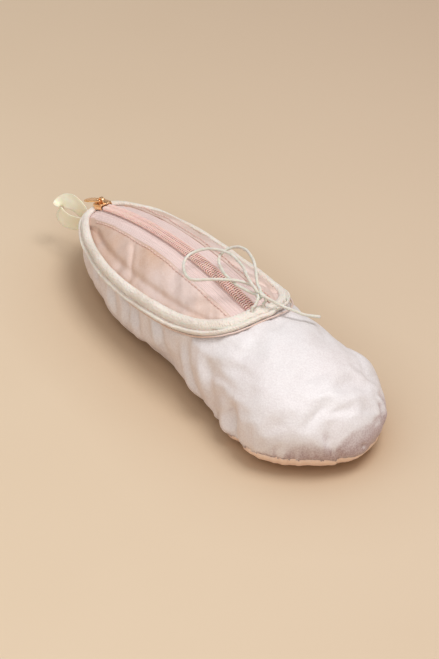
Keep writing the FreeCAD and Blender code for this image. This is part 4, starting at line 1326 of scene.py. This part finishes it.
def make_ribbon():
    line = spline(RIBBON[:, :3], RIBBON_ROWS)
    across = spline(RIBBON[:, 3:], RIBBON_ROWS)
    along = unit(np.gradient(line, axis=0))
    across = unit(across - along * np.sum(across * along, 1, keepdims=True))
    normals = np.cross(along, across)
    grid = np.empty((RIBBON_ROWS, RIBBON_COLUMNS, 3))
    for i in range(RIBBON_ROWS):
        for j in range(RIBBON_COLUMNS):
            place = 2 * j / (RIBBON_COLUMNS - 1) - 1
            cup = 0.25 * (1 - place * place)
            cup += 0.25 * wobble((i * 0.09, place * 1.2, 0), seed=91)
            selvedge = 0.10 if abs(place) > 0.9 else 0.0
            grid[i, j] = (line[i] + across[i] * (RIBBON_HALF_WIDTH * place)
                          + normals[i] * (cup + selvedge))
    ob = sheet("ribbon_loop", grid, 0.45, normals[:, None])
    dress(ob, "ribbon_satin")
    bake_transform(ob)
    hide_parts("hang_loop")


make_ribbon()

# ---------------------------------------------------------------------------
# bow: one thin elastic cord
# ---------------------------------------------------------------------------
KNOT = np.array([36.0, 3.0, 58.6])
THROAT_X, THROAT_Z = 40.6, 50.9     # where the legs leave the binding
CORD_RADIUS, CORD_SIDES = 0.8, 14
# Paths from the knot: x, y, z
LONG_LOOP = [
    (-1.6, 0.2, 0.3), (-3.7, 0.5, 0.7), (-6.3, 1.4, 1.0), (-9.7, -1.2, 2.3), (-13.0, -5.6, 3.8),
    (-19.7, -14.5, 4.2), (-25.5, -22.2, 3.6), (-30.4, -23.1, 3.2), (-36.7, -20.7, 2.8),
    (-42.4, -16.8, 2.7), (-45.9, -12.0, 2.9), (-46.4, -7.2, 3.4), (-44.5, -2.2, 4.2),
    (-41.4, 0.7, 4.8), (-36.8, 3.2, 5.4), (-30.8, 4.6, 5.8), (-24.9, 4.2, 5.9), (-18.0, 3.0, 5.8),
    (-11.2, 0.5, 5.4), (-5.0, -1.1, 4.6), (-1.6, -1.2, 3.2), (0.0, -0.4, 1.4)]
SHORT_LOOP = [
    (-0.6, 1.2, 0.3), (-3.1, 2.7, 1.3), (-5.9, 3.3, 1.7), (-9.9, 5.5, 3.8), (-16.9, 9.4, 6.0),
    (-22.5, 11.3, 6.8), (-28.5, 12.4, 6.8), (-33.7, 11.8, 6.0), (-37.1, 9.7, 4.6),
    (-38.6, 6.3, 3.2), (-37.0, 2.0, 2.4), (-32.8, -1.6, 2.1), (-28.2, -3.5, 2.0),
    (-23.7, -4.9, 2.0), (-18.7, -5.6, 2.0), (-13.0, -5.7, 1.8), (-7.4, -4.1, 1.1),
    (-3.6, -2.4, 0.4), (-1.2, -0.8, 0.0)]
TAIL = [(1.4, 0.3, 0.6), (3.9, 0.9, 0.6), (5.8, 3.0, -1.0), (7.4, 5.6, -3.2), (9.5, 8.7, -5.4),
        (12.9, 13.2, -7.8), (15.8, 17.7, -10.4), (18.5, 25.0, -13.0)]
# Turns of the knot: radius, tilt and yaw in degrees, offset from the knot
KNOT_TURNS = [(1.35, 74, 20, (0, 0, 0)), (1.2, 20, 70, (-0.5, 0.3, 0.2)),
              (1.25, 60, 115, (0.5, -0.2, -0.3))]


def cord(name, points, count):
    return tube(name, spline(points, count), CORD_RADIUS, CORD_SIDES)


def leg(side):
    """Path from the throat up into the knot."""
    x, y, z = KNOT
    return [(THROAT_X - 1.0, side * 3.4, THROAT_Z + 1.2), (THROAT_X - 1.6, side * 3.6, THROAT_Z + 3.6),
            (x + 3.2, y * 0.5 + side * 3.2, z - 2.4), (x + 1.8, y + side * 2.2, z - 0.4),
            (x + 0.4, y + side * 1.0, z + 0.6)]


def knot_turn(number, radius, tilt, yaw, offset):
    angles = np.linspace(0, 2 * math.pi, 28, endpoint=False)
    ring = np.stack([radius * 1.25 * np.cos(angles), radius * np.sin(angles),
                     0.25 * np.sin(2 * angles + number)], 1)
    turn = np.array(Matrix.Rotation(math.radians(yaw), 3, "Z")
                    @ Matrix.Rotation(math.radians(tilt), 3, "X"))
    return tube("knot_part", ring @ turn.T + KNOT + np.array(offset), radius=0.78, sides=12,
                closed=True)


loops = join("bow_loops_cord", [cord("loop_part", LONG_LOOP + KNOT, 190),
                                cord("loop_part", SHORT_LOOP + KNOT, 170)])
dress(loops, "elastic_cord")
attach(loops, "bow")
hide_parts("bow_loops")

tail = cord("bow_tail_cord", TAIL + KNOT, 80)
dress(tail, "elastic_cord")
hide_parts("bow_tail")
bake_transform(tail)

legs = join("bow_legs_cord", [cord("leg_part", leg(side), 30) for side in (1, -1)])
dress(legs, "elastic_cord")
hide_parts("bow_legs")
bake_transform(legs)

knot = join("bow_knot_cord", [knot_turn(i, *turn) for i, turn in enumerate(KNOT_TURNS)])
dress(knot, "elastic_cord")
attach(knot, "bow")
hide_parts("bow_knot")

# ---------------------------------------------------------------------------
# stage, camera and light (in metres from here on)
# ---------------------------------------------------------------------------
mat = Material("floor_paper")
uneven = mat.noise(scale=3)
axes = mat.node("ShaderNodeSeparateXYZ", vector=mat.object_coords)
# painted light falloff: the paper is a little darker toward +Y
along = mat.calc("ADD", mat.calc("MULTIPLY", axes.outputs["X"], 0.26),
                 mat.calc("MULTIPLY", axes.outputs["Y"], 1.16))
paper = mat.patches(uneven, (0.35, 0.65), srgb(224, 204, 178), srgb(221, 200, 173))
paper = mat.patches(along, (-0.20, 0.42), paper, srgb(201, 179, 156))
# painted contact shadow: warm brown close to the pouch, from ambient occlusion
painted_shadow_ao = mat.node("ShaderNodeAmbientOcclusion", distance=0.06)
painted_shadow_ao.samples = 12
near = mat.remap(painted_shadow_ao.outputs["AO"], (0.15, 1.0), to=(0.64, 0.0))
mat.set(base_color=mat.mix(near, paper, srgb(158, 118, 78)), roughness=0.9,
        specular_ior_level=0.1)
FLOOR_HALF = 3 / MM
floor = make("floor", [(x * FLOOR_HALF, y * FLOOR_HALF, 0)
                       for x, y in ((-1, -1), (1, -1), (1, 1), (-1, 1))],
             [(0, 1, 2, 3)], shade_smooth=False)
floor.data.materials.append(mat.data)

CAMERA_YAW = math.radians(54.92)
CAMERA_ELEVATION = math.radians(36.2)
CAMERA_DISTANCE = 0.926
CAMERA_TARGET = Vector((0, 0, 0.025))
view_right = Vector((math.cos(CAMERA_YAW), math.sin(CAMERA_YAW), 0))
view_back = Vector((-math.sin(CAMERA_YAW), math.cos(CAMERA_YAW), 0))


def look_along(direction):
    return direction.to_track_quat("-Z", "Y").to_euler()


camera_data = bpy.data.cameras.new("camera")
camera = add_to_scene("camera", camera_data)
forward = Vector((-math.sin(CAMERA_YAW) * math.cos(CAMERA_ELEVATION),
                  math.cos(CAMERA_YAW) * math.cos(CAMERA_ELEVATION),
                  -math.sin(CAMERA_ELEVATION)))
camera.location = CAMERA_TARGET - forward * CAMERA_DISTANCE
camera.rotation_euler = look_along(forward)
camera_data.sensor_fit = "VERTICAL"
camera_data.sensor_height = 36.0
camera_data.lens = 95.872534
camera_data.shift_x = 0.009650986
camera_data.shift_y = -0.019969651
camera_data.clip_start = 0.01
bpy.context.scene.camera = camera


def disk_light(name, right, back, up, size, power, colour):
    """A light placed by the camera's right and back, aimed at the pouch."""
    data = bpy.data.lights.new(name, "AREA")
    data.shape = "DISK"
    data.size = size
    data.energy = power
    data.color = colour
    ob = add_to_scene(name, data)
    position = view_right * right + view_back * back + Vector((0, 0, up))
    ob.location = position
    ob.rotation_euler = look_along(Vector((0, 0, 0.02)) - position)


disk_light("key", right=0.36, back=-0.06, up=1.25, size=0.62, power=8.6,
           colour=(0.985, 0.99, 1.0))
disk_light("side", right=-1.15, back=-0.35, up=0.62, size=1.2, power=1.7,
           colour=(1.0, 0.985, 0.97))
disk_light("fill", right=-0.05, back=-1.25, up=0.8, size=1.4, power=5.2,
           colour=(1.0, 0.975, 0.95))

# The sky: warm and dim below, pale above
world = bpy.data.worlds.new("world")
bpy.context.scene.world = world
world.use_nodes = True
nodes, links = world.node_tree.nodes, world.node_tree.links
sky_coords = nodes.new("ShaderNodeTexCoord")
sky_axes = nodes.new("ShaderNodeSeparateXYZ")
sky = nodes.new("ShaderNodeValToRGB")
stops = sky.color_ramp.elements
stops[0].position, stops[0].color = 0.0, (0.30, 0.25, 0.20, 1)
stops[1].position, stops[1].color = 1.0, (0.95, 0.93, 0.92, 1)
stops.new(0.45).color = (0.42, 0.38, 0.35, 1)
links.new(sky_coords.outputs["Generated"], sky_axes.inputs[0])
links.new(sky_axes.outputs["Z"], sky.inputs[0])
links.new(sky.outputs[0], nodes["Background"].inputs[0])
nodes["Background"].inputs[1].default_value = 0.75
bpy.context.scene.view_settings.view_transform = "Standard"
